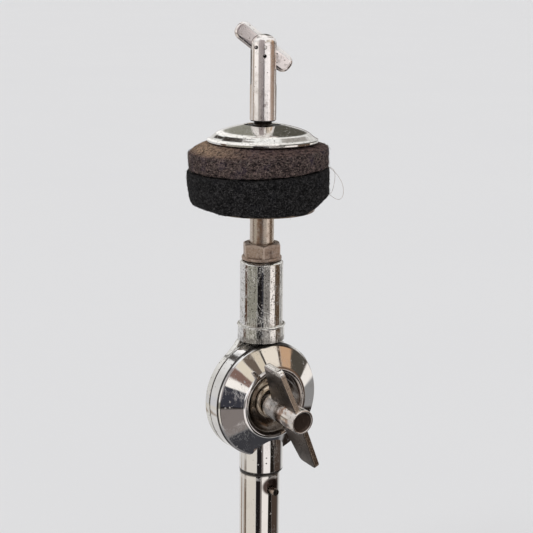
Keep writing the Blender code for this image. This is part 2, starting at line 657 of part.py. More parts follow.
def build():
    chrome = (0.72, 0.72, 0.72)
    nickel = (0.55, 0.50, 0.46)
    stand_axis = empty("stand_tilt_axis", None, (0, 0, TILT_HEIGHT))
    tilt_axis = empty("tilt_axis", None, (0, 0, TILT_HEIGHT))
    wing_place = (0, 0, TILT_HEIGHT - DROOP_AT_MIDDLE)
    wing_axis = empty("wing_axis", None, wing_place, (pi / 2 + WING_DROOP, 0, 0))
    pads_slide = empty("pads_slide", tilt_axis, (0, 0, UPPER_FELT_BOTTOM))
    toggle_axis = empty("toggle_axis", tilt_axis, (0, 0, PIVOT_HEIGHT), (pi / 2, LEVER_TILT, SLOT_ANGLE))
    finishes = [
        (make_tube(), metal("tube_chrome", chrome, 0.12)),
        (make_tube_pin(), metal("blackened_pin", (0.03, 0.03, 0.03), 0.45, 0.6)),
        (make_base(stand_axis), metal("base_chrome", chrome, 0.14)),
        (make_friction_disc(stand_axis), metal("fibre", (0.08, 0.06, 0.05), 0.8, 0.0)),
        (make_arm(tilt_axis), metal("arm_chrome", chrome, 0.16)),
        (make_wing_washer(stand_axis), metal("washer_steel", (0.60, 0.56, 0.50), 0.3)),
        (make_wing_screw(wing_axis), metal("wing_nickel", (0.42, 0.38, 0.35), 0.3)),
        (make_wing_stud(wing_axis), metal("stud_steel", (0.45, 0.42, 0.40), 0.35)),
        (make_rod(tilt_axis), metal("rod_nickel", nickel, 0.3)),
        (make_lock_washer(tilt_axis), metal("lock_washer_steel", (0.45, 0.38, 0.32), 0.4)),
        (make_lock_nut(tilt_axis), metal("nut_steel", (0.45, 0.38, 0.32), 0.4)),
        (make_seat_washer(tilt_axis), metal("seat_steel", (0.60, 0.58, 0.55), 0.3)),
        (make_lower_felt(tilt_axis), metal("black_felt", (0.02, 0.02, 0.022), 1.0, 0.0)),
        (make_sleeve(tilt_axis), metal("black_plastic", (0.02, 0.02, 0.02), 0.5, 0.0)),
        (make_upper_felt(pads_slide), metal("grey_felt", (0.09, 0.075, 0.07), 1.0, 0.0)),
        (make_top_washer(pads_slide), metal("dome_chrome", chrome, 0.15)),
        (make_post(tilt_axis), metal("post_nickel", (0.65, 0.61, 0.58), 0.25)),
        (make_toggle_pin(tilt_axis), metal("pin_steel", (0.62, 0.60, 0.58), 0.3)),
        (make_lever(toggle_axis), metal("lever_nickel", (0.65, 0.61, 0.58), 0.28)),
        (make_detent_ball(toggle_axis), metal("ball_steel", (0.70, 0.70, 0.70), 0.15)),
    ]
    bpy.context.view_layer.update()
    for item, material in finishes:
        finish(item, material)


clear_scene()
PARTS = new_collection("cymbal_tilter")
CUTTERS = new_collection("cutters")
build()
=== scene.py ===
import json
import random
import bpy
from math import acos, asin, atan, atan2, cos, hypot, pi, radians, sin, tan
from mathutils import Matrix, Vector, noise


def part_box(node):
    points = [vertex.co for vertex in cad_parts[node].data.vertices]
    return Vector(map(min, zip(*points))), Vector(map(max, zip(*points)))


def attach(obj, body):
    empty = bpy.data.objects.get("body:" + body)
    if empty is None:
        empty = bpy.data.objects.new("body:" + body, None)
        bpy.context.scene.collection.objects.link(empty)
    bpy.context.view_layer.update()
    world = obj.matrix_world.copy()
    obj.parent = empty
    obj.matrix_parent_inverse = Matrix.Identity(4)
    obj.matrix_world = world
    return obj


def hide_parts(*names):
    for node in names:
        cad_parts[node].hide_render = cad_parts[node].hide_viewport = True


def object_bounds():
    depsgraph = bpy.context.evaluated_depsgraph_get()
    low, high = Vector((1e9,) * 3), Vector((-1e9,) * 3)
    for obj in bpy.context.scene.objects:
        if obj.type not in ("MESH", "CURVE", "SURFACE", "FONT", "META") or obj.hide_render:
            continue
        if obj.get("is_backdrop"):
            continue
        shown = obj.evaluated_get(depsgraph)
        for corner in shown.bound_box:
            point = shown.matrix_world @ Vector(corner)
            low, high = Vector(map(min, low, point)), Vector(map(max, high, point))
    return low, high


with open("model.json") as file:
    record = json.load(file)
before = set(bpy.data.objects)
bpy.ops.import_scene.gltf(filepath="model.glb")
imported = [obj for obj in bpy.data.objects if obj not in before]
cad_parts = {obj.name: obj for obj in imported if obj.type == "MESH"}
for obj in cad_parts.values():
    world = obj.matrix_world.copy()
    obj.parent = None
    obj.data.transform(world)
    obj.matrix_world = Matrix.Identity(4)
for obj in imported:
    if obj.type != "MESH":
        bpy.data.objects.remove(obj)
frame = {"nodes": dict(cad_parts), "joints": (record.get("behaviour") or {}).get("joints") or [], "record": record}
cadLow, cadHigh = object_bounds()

from types import SimpleNamespace as Sizes

record = frame["record"]
slotOf = {row["node"]: row["material_slot"] for row in record["subparts"]}
bodyOf = {node: body for body, nodes in record["behaviour"]["bodies"].items() for node in nodes}
jointOf = {row["name"]: row for row in frame["joints"]}
tiltHeight = jointOf["tilter_tilt"]["pos_m"][2]
flipHeight = jointOf["toggle_flip"]["pos_m"][2]
wingPlace = jointOf["wing_turn"]["pos_m"]
wingAxis = Vector(jointOf["wing_turn"]["axis"])
wingDroop = asin(-jointOf["wing_turn"]["axis"][2])
slotTurn = asin(jointOf["toggle_flip"]["axis"][0])
camera = Sizes(
    away=0.418, bearing=-34, height=0.1408, pitch=12.9, roll=0.57, focal=1292, shiftPx=5.06, framePx=533,
    sensor=36, clipStart=0.01)
aim = radians(camera.bearing)
toCamera = Vector((sin(aim), -cos(aim), 0))
toRight = Vector((cos(aim), sin(aim), 0))
upright = Vector((0, 0, 1))
forward = Vector((0, -1, 0))
middle = (0, 0, 0)
jointCentre = Vector((0, 0, tiltHeight))
faceFront = (pi / 2, 0, 0)  # a shape made up +Z then points to -Y
print("frame loaded:", len(frame["nodes"]), "nodes")


# modelling tools
meshOps, objectOps = bpy.ops.mesh, bpy.ops.object
weldGap = 0.000002
tinyRing = 0.0003  # a turned shape closes with a small flat face


def pickOnly(piece):
    objectOps.select_all(action="DESELECT")
    piece.select_set(True)
    bpy.context.view_layer.objects.active = piece


def startShape(name, add, **settings):  # a primitive with its place in its mesh
    objectOps.select_all(action="DESELECT")
    add(**settings)
    piece = bpy.context.object
    piece.name = name
    objectOps.transform_apply(location=True, rotation=True, scale=True)
    return piece


def pickParts(piece, kind, test):  # picks in code, then goes back to edit mode
    meshOps.select_mode(type=kind)
    meshOps.select_all(action="DESELECT")
    objectOps.mode_set(mode="OBJECT")
    mesh = piece.data
    for part in {"VERT": mesh.vertices, "EDGE": mesh.edges, "FACE": mesh.polygons}[kind]:
        part.select = test(part)
    objectOps.mode_set(mode="EDIT")


def closeMesh():
    meshOps.select_mode(type="VERT")
    meshOps.select_all(action="SELECT")
    meshOps.normals_make_consistent(inside=False)
    objectOps.mode_set(mode="OBJECT")


def useModifier(piece, kind, **settings):
    pickOnly(piece)
    modifier = piece.modifiers.new(kind.title(), kind)
    for name, value in settings.items():
        setattr(modifier, name, value)
    objectOps.modifier_apply(modifier=modifier.name)
    return piece


def roundEdges(piece, width, segments=3, angle=35):
    return useModifier(piece, "BEVEL", width=width, segments=segments, limit_method="ANGLE",
                       angle_limit=radians(angle), use_clamp_overlap=True)


def combine(piece, tool, operation):
    useModifier(piece, "BOOLEAN", object=tool, operation=operation, solver="EXACT")
    bpy.data.objects.remove(tool, do_unlink=True)
    return piece


def setDown(piece, location=middle, turn=middle):  # moves the mesh, the object stays at the origin
    pickOnly(piece)
    piece.location = location
    piece.rotation_euler = turn
    objectOps.transform_apply(location=True, rotation=True, scale=True)
    return piece


def turnShape(name, rings, sides=96, ring=False):  # a circle drawn out ring by ring, (radius, height)
    radius, height = rings[0]
    piece = startShape(name, meshOps.primitive_circle_add, vertices=sides, radius=radius,
                       location=(0, 0, height))
    objectOps.mode_set(mode="EDIT")
    meshOps.select_mode(type="VERT")
    meshOps.select_all(action="SELECT")
    for nextRadius, nextHeight in rings[1:] + (rings[:1] if ring else []):
        meshOps.extrude_region_move(TRANSFORM_OT_translate={"value": (0, 0, nextHeight - height)})
        share = nextRadius / radius
        bpy.ops.transform.resize(value=(share, share, 1), center_override=(0, 0, nextHeight))
        radius, height = nextRadius, nextHeight
    if ring:
        meshOps.select_all(action="SELECT")
        meshOps.remove_doubles(threshold=weldGap)
    else:
        meshOps.edge_face_add()
        meshOps.select_all(action="DESELECT")
        meshOps.select_non_manifold()
        meshOps.edge_face_add()
    closeMesh()
    return piece


def rodShape(name, radius, bottom, top, sides=64):
    return turnShape(name, [(radius, bottom), (radius, top)], sides)


def boxShape(name, size, location, turn=middle):
    piece = startShape(name, meshOps.primitive_cube_add, size=1)
    piece.scale = size
    return setDown(piece, location, turn)


def drill(piece, radius, bottom, top, sides, location=middle, turn=middle):
    hole = setDown(rodShape("hole", radius, bottom, top, sides), location, turn)
    return combine(piece, hole, "DIFFERENCE")


def washerShape(name, radius, hole, bottom, top, edge, sides=96):
    piece = turnShape(name, [(hole, bottom), (radius, bottom), (radius, top), (hole, top)], sides, True)
    return roundEdges(piece, edge)


def plateShape(name, corners, rounds, thickness, edge):  # flat in XY, corners and edges rounded
    piece = startShape(name, meshOps.primitive_plane_add, size=1)
    order = (0, 1, 3, 2)  # a plane's corners run in rows
    for index, (x, y) in zip(order, corners):
        piece.data.vertices[index].co = (x, y, -thickness / 2)
    marked = [Vector((x, y)) for (x, y), wide in zip(corners, rounds) if wide]
    pickOnly(piece)
    objectOps.mode_set(mode="EDIT")
    pickParts(piece, "VERT", lambda vert: any((vert.co.xy - spot).length < 0.00001 for spot in marked))
    meshOps.bevel(offset=max(rounds), segments=8, affect="VERTICES")
    meshOps.select_all(action="SELECT")
    meshOps.extrude_region_move(TRANSFORM_OT_translate={"value": (0, 0, thickness)})
    closeMesh()
    return roundEdges(piece, edge, 4, 50)


def arcRings(radius, height, bend, start, end, steps):
    spread = [radians(start + (end - start) * step / steps) for step in range(steps + 1)]
    return [(radius + bend * cos(angle), height + bend * sin(angle)) for angle in spread]


def grooves(radius, bottom, top, pitch, depth):  # rings of a fine thread
    rings = []
    for turn in range(int((top - bottom) / pitch)):
        rings += [(radius, bottom + pitch * turn), (radius - depth, bottom + pitch * (turn + 0.5))]
    return rings


def dress(piece, node, material, stands=True):  # the piece stands for its node, or only rides with it
    piece.data.materials.clear()
    piece.data.materials.append(material)
    if stands:
        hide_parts(node)
    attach(piece, bodyOf[node])
    return piece


def shadeBy(piece, angle=32):  # long faces keep their own direction beside rounded edges
    pickOnly(piece)
    objectOps.shade_smooth_by_angle(angle=radians(angle))
    return useModifier(piece, "WEIGHTED_NORMAL", mode="FACE_AREA", weight=50, keep_sharp=True)


# shader tools
def sums(operation):
    return lambda self, value: self.maths(operation, self, value)


def swapped(operation):
    return lambda self, value: self.maths(operation, value, self)


class Wire:  # a socket that takes part in sums
    __add__, __radd__ = sums("ADD"), swapped("ADD")
    __sub__, __rsub__ = sums("SUBTRACT"), swapped("SUBTRACT")
    __mul__, __rmul__ = sums("MULTIPLY"), swapped("MULTIPLY")
    __pow__, __gt__, most = sums("POWER"), sums("GREATER_THAN"), sums("MAXIMUM")

    def __init__(self, sheet, socket):
        self.sheet = sheet
        self.socket = socket

    def __abs__(self):
        return self.maths("ABSOLUTE", self)

    def other(self, name):
        return Wire(self.sheet, self.socket.node.outputs[name])

    def maths(self, operation, *values):
        return self.sheet.node("Math", dict(enumerate(values)), operation=operation)


class Sheet:  # a node tree and the one way to add to it
    def __init__(self, tree):
        self.tree = tree
        tree.nodes.clear()

    def node(self, kind, sockets=None, out=0, **settings):
        made = self.tree.nodes.new("ShaderNode" + kind)
        for name, value in settings.items():
            setattr(made, name, value)
        for key, value in (sockets or {}).items():
            if isinstance(value, Wire):
                self.tree.links.new(value.socket, made.inputs[key])
            else:
                made.inputs[key].default_value = value
        return Wire(self, made.outputs[out]) if made.outputs else None

    def vector(self, operation, *values):
        out = "Value" if operation in ("DOT_PRODUCT", "LENGTH") else "Vector"
        return self.node("VectorMath", dict(enumerate(values)), out, operation=operation)

    def cloud(self, spot, scale, detail=3.0, rough=0.55, twist=0.0):
        return self.node("TexNoise", {"Vector": spot, "Scale": scale, "Detail": detail, "Roughness": rough,
                                      "Distortion": twist})

    def rise(self, value, low, high):  # soft step from 0 to 1
        return self.node("MapRange", {0: value, 1: low, 2: high}, interpolation_type="SMOOTHSTEP")

    def blend(self, share, first, second):  # colours
        pair = [value if isinstance(value, Wire) else (*value, 1) for value in (first, second)]
        return self.node("Mix", {0: share, 6: pair[0], 7: pair[1]}, 2, data_type="RGBA")

    def spots(self, spot, scale, size, share):  # scattered round marks, a share of the cells has one
        cell = self.node("TexVoronoi", {"Vector": spot, "Scale": scale})
        luck = self.node("SeparateColor", {0: cell.other("Color")})
        return self.rise(cell, size, size * 0.45) * (luck > 1 - share)

    def lines(self, spot, layers):  # fine wandering hairlines, (turn, along, across, width) of each layer
        marks = None
        for turn, along, across, width in layers:
            lay = self.node("Mapping", {"Vector": spot, "Rotation": turn, "Scale": (across, across, along)})
            layer = self.rise(abs(self.cloud(lay, 1.0, 1.5) - 0.5), width, 0)
            marks = marks.most(layer) if marks else layer
        return marks

    def band(self, value, low, high, soft):  # 1 between low and high
        return self.rise(value, low - soft, low + soft) * self.rise(value, high + soft, high - soft)

    def stained(self, spot, mark):  # how much of a mark there is inside all its bands; marks are stains and painted light and shade
        share = self.rise(self.cloud(spot, mark.scale, 5, 0.65), *mark.breaks)
        for part in mark.where:
            gap = self.vector("SUBTRACT", spot, part.point)
            value = self.vector("DOT_PRODUCT", gap, part.way)
            if part.around:
                away = self.vector("LENGTH", gap)
                value = (away * away - value * value).most(0) ** 0.5
            share = share * self.band(value, *part.band)
        return share * mark.amount

    def surface(self, colour, rough, relief=None, metal=0, gloss=0.5):
        sockets = {"Base Color": colour, "Roughness": rough, "Metallic": metal, "Specular IOR Level": gloss}
        if relief:
            sockets["Normal"] = self.node("Bump", {"Strength": 1.0, "Distance": 1.0, "Height": relief})
        self.node("OutputMaterial", {"Surface": self.node("BsdfPrincipled", sockets)})


def slab(point, way, *band):  # between two heights along a direction, with soft edges
    return Sizes(point=point, way=way, around=False, band=band)


def level(*band):
    return slab(middle, upright, *band)


def hoop(point, way, *band):  # between two distances round an axis
    return Sizes(point=point, way=way, around=True, band=band)


def stain(where, breaks, amount, colour, rough, scale=420, metal=1):  # rough adds to what is under it; marks are stains and painted light and shade
    return Sizes(**locals())


def newSheet(name):
    material = bpy.data.materials.new(name)
    material.use_nodes = True
    sheet = Sheet(material.node_tree)
    return material, sheet, sheet.node("TexCoord", out="Object")


# no breaks: the mark fills its bands (the blackened pin's ends, and painted shade in the post's slot and holes)
wholeStain = (-1, -0.5)
facingCamera = slab(middle, toCamera, 0, 0.01, 0.001)
plainMetal = dict(
    bright=(0.8, 0.79, 0.78), dull=(0.5, 0.45, 0.4), dullShare=0.35, rough=0.05, roughMore=0.1,
    cloudScale=170, pitScale=900, pitSize=0.26, pitShare=0.25, pitColour=(0.1, 0.08, 0.07), scratch=0.5,
    scratchColour=(0.72, 0.69, 0.64), metal=1.0, grain=0.000002, speckle=0.0, speckleFrom=-1.0, wave=0.0,
    hairlines=[((0.5, 0.3, 0.2), 90, 900, 0.014), ((-0.7, 0.9, 0.4), 120, 1100, 0.012),
               ((1.3, -0.4, 1.1), 100, 1000, 0.012)], stains=())


def agedMetal(name, look):  # plating with dull patches, pits, hairline scratches, stains and painted light and shade
    look = Sizes(**{**plainMetal, **look})
    material, sheet, spot = newSheet(name)
    patch = sheet.cloud(spot, look.cloudScale, 6, 0.62)
    dull = sheet.rise(patch, 0.5, 0.74) * look.dullShare
    pits = sheet.spots(spot, look.pitScale, look.pitSize, look.pitShare)
    specks = sheet.spots(spot, look.pitScale * 2.3, look.pitSize * 0.9, look.pitShare * 0.8)
    pitted = pits.most(specks)
    worn = sheet.rise(sheet.cloud(spot, 120, 2), 0.45, 0.62)
    marks = sheet.lines(spot, look.hairlines) * worn * look.scratch
    colour = sheet.blend(dull, look.bright, look.dull)
    dust = sheet.cloud(spot, 1700, 2, 0.6)
    height = sheet.node("SeparateXYZ", {0: spot}, "Z")
    dusty = look.speckle * sheet.rise(height, look.speckleFrom, look.speckleFrom + 0.002)
    colour = sheet.blend(sheet.rise(dust, 0.54, 0.66) * dusty, colour, look.pitColour)
    colour = sheet.blend(sheet.rise(dust, 0.44, 0.34) * dusty, colour, look.scratchColour)
    rough = look.rough + look.roughMore * patch * patch + 0.2 * dull + 0.25 * marks
    metal = look.metal * (1 - 0.5 * pitted) * (1 - 0.6 * marks)
    for mark in look.stains:
        share = sheet.stained(spot, mark)
        colour = sheet.blend(share, colour, mark.colour)
        rough = rough + share * mark.rough
        if mark.metal < 1:
            metal = metal * (1 - share * (1 - mark.metal))
    colour = sheet.blend(pitted * 0.85, colour, look.pitColour)
    colour = sheet.blend(marks * 0.8, colour, look.scratchColour)
    rough = (rough + 0.3 * pits + 0.2 * specks).most(0.02)
    relief = look.grain * sheet.cloud(spot, 2600, 3) - 0.000006 * marks
    relief = relief - 0.00005 * pits - 0.00002 * specks + look.wave * sheet.cloud(spot, 150, 1)
    sheet.surface(colour, rough, relief, metal)
    return material


def darkStuff(name, look):  # plastic or fibre: not a mirror
    look = Sizes(**look)
    material, sheet, spot = newSheet(name)
    patch = sheet.cloud(spot, look.scale, 6, 0.65)
    specks = sheet.spots(spot, look.scale * 6, 0.3, look.specks)
    colour = sheet.blend(sheet.rise(patch, 0.42, 0.68), look.dark, look.worn)
    colour = sheet.blend(specks * 0.6, colour, look.fleck)
    rough = look.rough + 0.25 * (patch - 0.5) + 0.1 * specks
    sheet.surface(colour, rough, 0.00004 * patch - 0.00003 * specks)
    return material


def plate(piece, node, finish, look, angle=32):  # shaded, plated and in its node's place
    return dress(shadeBy(piece, angle), node, agedMetal(finish, look))


# the tube and its cross pin
pinLow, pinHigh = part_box("tube_pin")
pinRadius = (pinHigh.z - pinLow.z) / 2
pinHeight = (pinHigh.z + pinLow.z) / 2
tubeShape = Sizes(wall=0.0013, edge=0.00025, pinSpace=0.0003, pinEdge=0.0004, pinSides=40, drillReach=0.012)
tubeLook = dict(
    bright=(0.82, 0.8, 0.77), dullShare=0.22, rough=0.025, roughMore=0.06, pitShare=0.05, scratch=0.2,
    stains=[
        # painted reflection: a bright, less metallic band on the tube just under the collar line
        stain([level(0.0779, 0.079, 0.0003)], (0.4, 0.55), 0.6, (0.88, 0.83, 0.77), 0.2, scale=250,
              metal=0.4),
        # painted shadow: a dark band on the tube at the collar's foot
        stain([level(0.0793, 0.0812, 0.0003)], (0.1, 0.35), 0.9, (0.02, 0.016, 0.013), 0.3),
        # painted reflection: the pin mirrored in the tube, a dark brown patch round and above it
        stain([hoop((0, 0, pinHeight + 0.0012), forward, -0.001, 0.003, 0.0005),
               slab(middle, forward, 0, 0.02, 0.001)], (0.0, 0.3), 0.96, (0.05, 0.026, 0.02), 0.15)])
pinLook = dict(
    bright=(0.46, 0.37, 0.31), dull=(0.16, 0.1, 0.075), dullShare=0.6, rough=0.12, stains=[
        stain([slab(middle, way, -pinLow.y - 0.00035, 0.02, 0.00008)], wholeStain, 0.98,
              (0.008, 0.007, 0.006), 0.25) for way in (forward, -forward)])
tubeLow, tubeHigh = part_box("upper_tube")
tubeRadius = (tubeHigh.x - tubeLow.x) / 2
standTube = washerShape("standTube", tubeRadius, tubeRadius - tubeShape.wall, tubeLow.z, tubeHigh.z,
                        tubeShape.edge, 128)
drill(standTube, pinRadius + tubeShape.pinSpace, -tubeShape.drillReach, tubeShape.drillReach,
      tubeShape.pinSides, (0, 0, pinHeight), faceFront)
plate(standTube, "upper_tube", "tubeChrome", tubeLook)
tubePin = rodShape("tubePin", pinRadius, -pinHigh.y, -pinLow.y, tubeShape.pinSides)
roundEdges(tubePin, tubeShape.pinEdge, 4)
plate(setDown(tubePin, (0, 0, pinHeight), faceFront), "tube_pin", "blackenedPin", pinLook)
print("tube and pin made")


# front half of the disc joint, with the collar over the tube
baseShape = Sizes(
    radius=0.0198, back=-0.0005, rimFront=0.0044, rimEdge=0.0006, slope=0.582,
    crest=(0.01155, 0.00689, 0.002), crestTurn=(149.8, 59.8), bore=0.00413, bowl=(0.006, 0.01012, 0.00442),
    bowlTurn=(-90, -30.2), turnSteps=10, edge=0.00022, pocket=0.001, pocketRadius=0.0153,
    collarRadius=0.00745, collarForward=0.0007, collarTop=0.0124, collarDrop=0.0257, collarEdge=0.0005,
    swing=0.0203, swingBack=-0.014, swingGap=0.0002, spigotDrop=0.0417, spigotRadius=0.0053, overlap=0.004,
    drillReach=0.01)
# near black, for painted shade along the disc's rim
rimBlack = (0.012, 0.01, 0.009)
baseLook = dict(
    bright=(0.82, 0.81, 0.8), dullShare=0.25, rough=0.025, roughMore=0.05, pitShare=0.07, pitScale=800,
    scratch=0.3, wave=0.00004, stains=[
        stain([hoop(jointCentre, forward, -0.001, 0.0106, 0.0008)], (0.22, 0.6), 0.7,
              (0.2, 0.15, 0.11), 0.12),
        stain([hoop(jointCentre, forward, -0.001, 0.0112, 0.0005), level(0.08, 0.104, 0.0012)],
              (0.05, 0.35), 0.85, (0.07, 0.053, 0.04), 0.15),
        # painted shade: a black line along the rim's edge on the left
        stain([hoop(jointCentre, forward, 0.0195, 0.0202, 0.00012),
               slab(jointCentre, forward, 0.0036, 0.0054, 0.00015),
               slab(jointCentre, (1, 0, 0), -0.03, 0.006, 0.004),
               level(0.0925, 0.14, 0.001)], (0.0, 0.25), 0.96, rimBlack, 0.2),
        # painted shadow: a black line along the rim's top, in the recess under the arm's ring
        stain([hoop(jointCentre, forward, 0.0186, 0.0202, 0.00012),
               slab(jointCentre, forward, 0.0036, 0.0056, 0.00015),
               slab(jointCentre, (1, 0, 0), -0.0062, 0.0095, 0.002),
               level(0.1185, 0.14, 0.0015)], (0.05, 0.3), 0.96, rimBlack, 0.2),
        # painted shadow: a dark line at the collar's foot, where it meets the tube
        stain([level(0.0797, 0.0811, 0.0002)], (0.0, 0.25), 0.95, (0.015, 0.012, 0.01), 0.3),
        stain([hoop(jointCentre, forward, 0.0099, 0.0125, 0.0003),
               slab(jointCentre, (0.85, 0, 0.53), 0.001, 0.03, 0.004)],
              (0.15, 0.45), 0.75, (0.26, 0.215, 0.18), 0.12)])


def makeBase():
    size = baseShape
    radius, edge, back = size.radius, size.rimEdge, size.back
    bowl = arcRings(*size.bowl, *size.bowlTurn, size.turnSteps)  # hollow round the screw
    crest = arcRings(*size.crest, *size.crestTurn, size.turnSteps)  # and its round crest
    rings = [(size.bore, bowl[0][1])] + bowl + crest[1:]
    rings += [(radius - edge, size.rimFront + edge * size.slope), (radius, size.rimFront - edge)]
    rings += [(radius, back), (size.bore, back)]
    base = turnShape("jointBase", rings, 160, True)
    roundEdges(base, size.edge, 3, 25)
    setDown(base, jointCentre, faceFront)
    collarFoot = tiltHeight - size.collarDrop
    collar = rodShape("collar", size.collarRadius, collarFoot, tiltHeight - size.collarTop, 128)
    roundEdges(collar, size.collarEdge, 4)
    setDown(collar, (0, -size.collarForward, 0))
    drill(collar, size.swing, size.swingBack, back + size.swingGap, 160, jointCentre, faceFront)
    combine(base, collar, "UNION")
    spigotFoot, spigotTop = tiltHeight - size.spigotDrop, collarFoot + size.overlap
    spigot = rodShape("spigot", size.spigotRadius, spigotFoot, spigotTop)
    drill(spigot, pinRadius + tubeShape.pinSpace, -size.drillReach, size.drillReach, tubeShape.pinSides,
          (0, 0, pinHeight), faceFront)
    combine(base, spigot, "UNION")
    return drill(base, size.pocketRadius, back - size.overlap, size.pocket, 128, jointCentre, faceFront)


plate(makeBase(), "tilter_base", "discChrome", baseLook, 28)
print("front half of the joint made")


# back half of the disc joint, with the neck and the socket of the rod
armShape = Sizes(
    face=-0.001, rimBack=-0.004, back=-0.008, boss=0.0105, bore=0.00366, shoulder=0.009,
    shoulderHeight=0.0185, shoulderSteps=12, ringBottom=0.0203, ring=0.0078, ringTop=0.026, lip=0.0004,
    socket=0.0072, top=0.0474, edge=0.0006, rodHole=0.0043, rodFloor=0.0294, room=0.016, flareRound=0.0009,
    flareCorner=0.0004, sink=0.0002, discEdge=0.0003, neckEdge=0.00016, drillBack=0.002, drillFront=0.01)
# curved scratches on the socket: (right, height) of the centre, radius, and the part that shows
armScratches = [((0.0032, 0.1413), 0.0045, (-0.0046, 0), (-0.0047, -0.0008)),
                ((0.0024, 0.1392), 0.0046, (-0.004, 0), (-0.005, -0.0026)),
                ((-0.0081, 0.1489), 0.0036, (0.0012, 1), (0.0008, 0.0034)),
                ((0.0016, 0.1432), 0.0036, (0, 0.0022), (0.0024, 1))]
scratchLine = Sizes(width=0.00012, soft=0.00005, endSoft=0.0004)


def scratchStain(centre, radius, right, up):
    spot = toRight * centre[0] + Vector((0, 0, centre[1]))
    where = [hoop(spot, toCamera, radius, radius + scratchLine.width, scratchLine.soft),
             slab(spot, toRight, *right, scratchLine.endSoft),
             slab(spot, upright, *up, scratchLine.endSoft), facingCamera]
    return stain(where, (0.15, 0.35), 0.85, (0.86, 0.83, 0.79), 0.25, metal=0.35)


armLook = dict(
    bright=(0.8, 0.79, 0.76), dull=(0.42, 0.41, 0.355), dullShare=0.75, rough=0.035, roughMore=0.12,
    cloudScale=300, pitShare=0.55, pitSize=0.25, scratch=1.0, pitColour=(0.085, 0.07, 0.055),
    scratchColour=(0.8, 0.77, 0.72), speckle=0.7, speckleFrom=0.1265, stains=[
        # painted shade: a darker rim at the socket's top, under the lock washer
        stain([level(0.1533, 0.1545, 0.0002)], (0.35, 0.6), 0.6, (0.13, 0.09, 0.06), 0.3),
        # painted shade: a dark band at the ring's foot, above the flare
        stain([level(0.1265, 0.1282, 0.0004)], (0.3, 0.6), 0.7, (0.06, 0.045, 0.035), 0.3),
        stain([level(0.1318, 0.1332, 0.0005)], (0.42, 0.7), 0.6, (0.16, 0.11, 0.07), 0.25),
        *(scratchStain(*mark) for mark in armScratches)])


def makeArm():
    size = armShape
    face, back, bore, socket = size.face, size.back, size.bore, size.socket
    wide, edge, sink = baseShape.radius, baseShape.rimEdge, size.sink
    rings = [(bore, face), (wide, face), (wide, size.rimBack + edge), (wide - edge, size.rimBack)]
    rings += [(size.boss, back), (bore, back)]
    arm = turnShape("jointArm", rings, 160, True)
    roundEdges(arm, size.discEdge, 3, 20)
    setDown(arm, jointCentre, faceFront)
    ring, lip, ringTop, top = size.ring, size.lip, size.ringTop, size.top
    rings = [(tinyRing, size.rodFloor), (size.rodHole, size.rodFloor), (size.rodHole, top)]
    rings += [(socket - size.edge, top), (socket, top - size.edge), (socket, ringTop), (ring, ringTop)]
    rings += [(ring + lip, ringTop - lip), (ring, ringTop - 2 * lip), (ring, size.ringBottom)]
    for step in range(size.shoulderSteps + 1):  # shoulder, rounded in towards the disc
        angle = pi / 3 * step / size.shoulderSteps
        rings.append((size.shoulder * cos(angle), size.shoulderHeight * (1 - sin(angle))))
    rings.append((tinyRing, rings[-1][1]))
    neck = turnShape("neck", [(out, tiltHeight + height) for out, height in rings], 128)
    roundEdges(neck, size.neckEdge, 3, 25)
    high, room = size.ringBottom + sink, size.room
    behind = (0, -face + sink - room / 2, tiltHeight + high / 2)  # the front half turns below the ring
    combine(neck, boxShape("room", (2 * room, room, high), behind), "DIFFERENCE")
    drill(neck, bore, back - size.drillBack, size.drillFront, 64, jointCentre, faceFront)
    combine(arm, neck, "UNION")
    turn = atan2(socket, high) + acos(wide / hypot(socket, high))
    foot = Vector((sin(turn), cos(turn))) * (wide - sink)  # the flare meets the rim on a tangent
    corners = [(-foot.x, foot.y), (foot.x, foot.y), (socket, high), (-socket, high)]
    flare = plateShape("flare", corners, (0, 0, size.flareCorner, size.flareCorner),
                       face - size.rimBack - 2 * sink, size.flareRound)
    setDown(flare, (0, -(face + size.rimBack) / 2, tiltHeight), faceFront)
    return combine(arm, flare, "UNION")


plate(makeArm(), "tilter_arm", "armChrome", armLook, 28)
print("back half of the joint made")


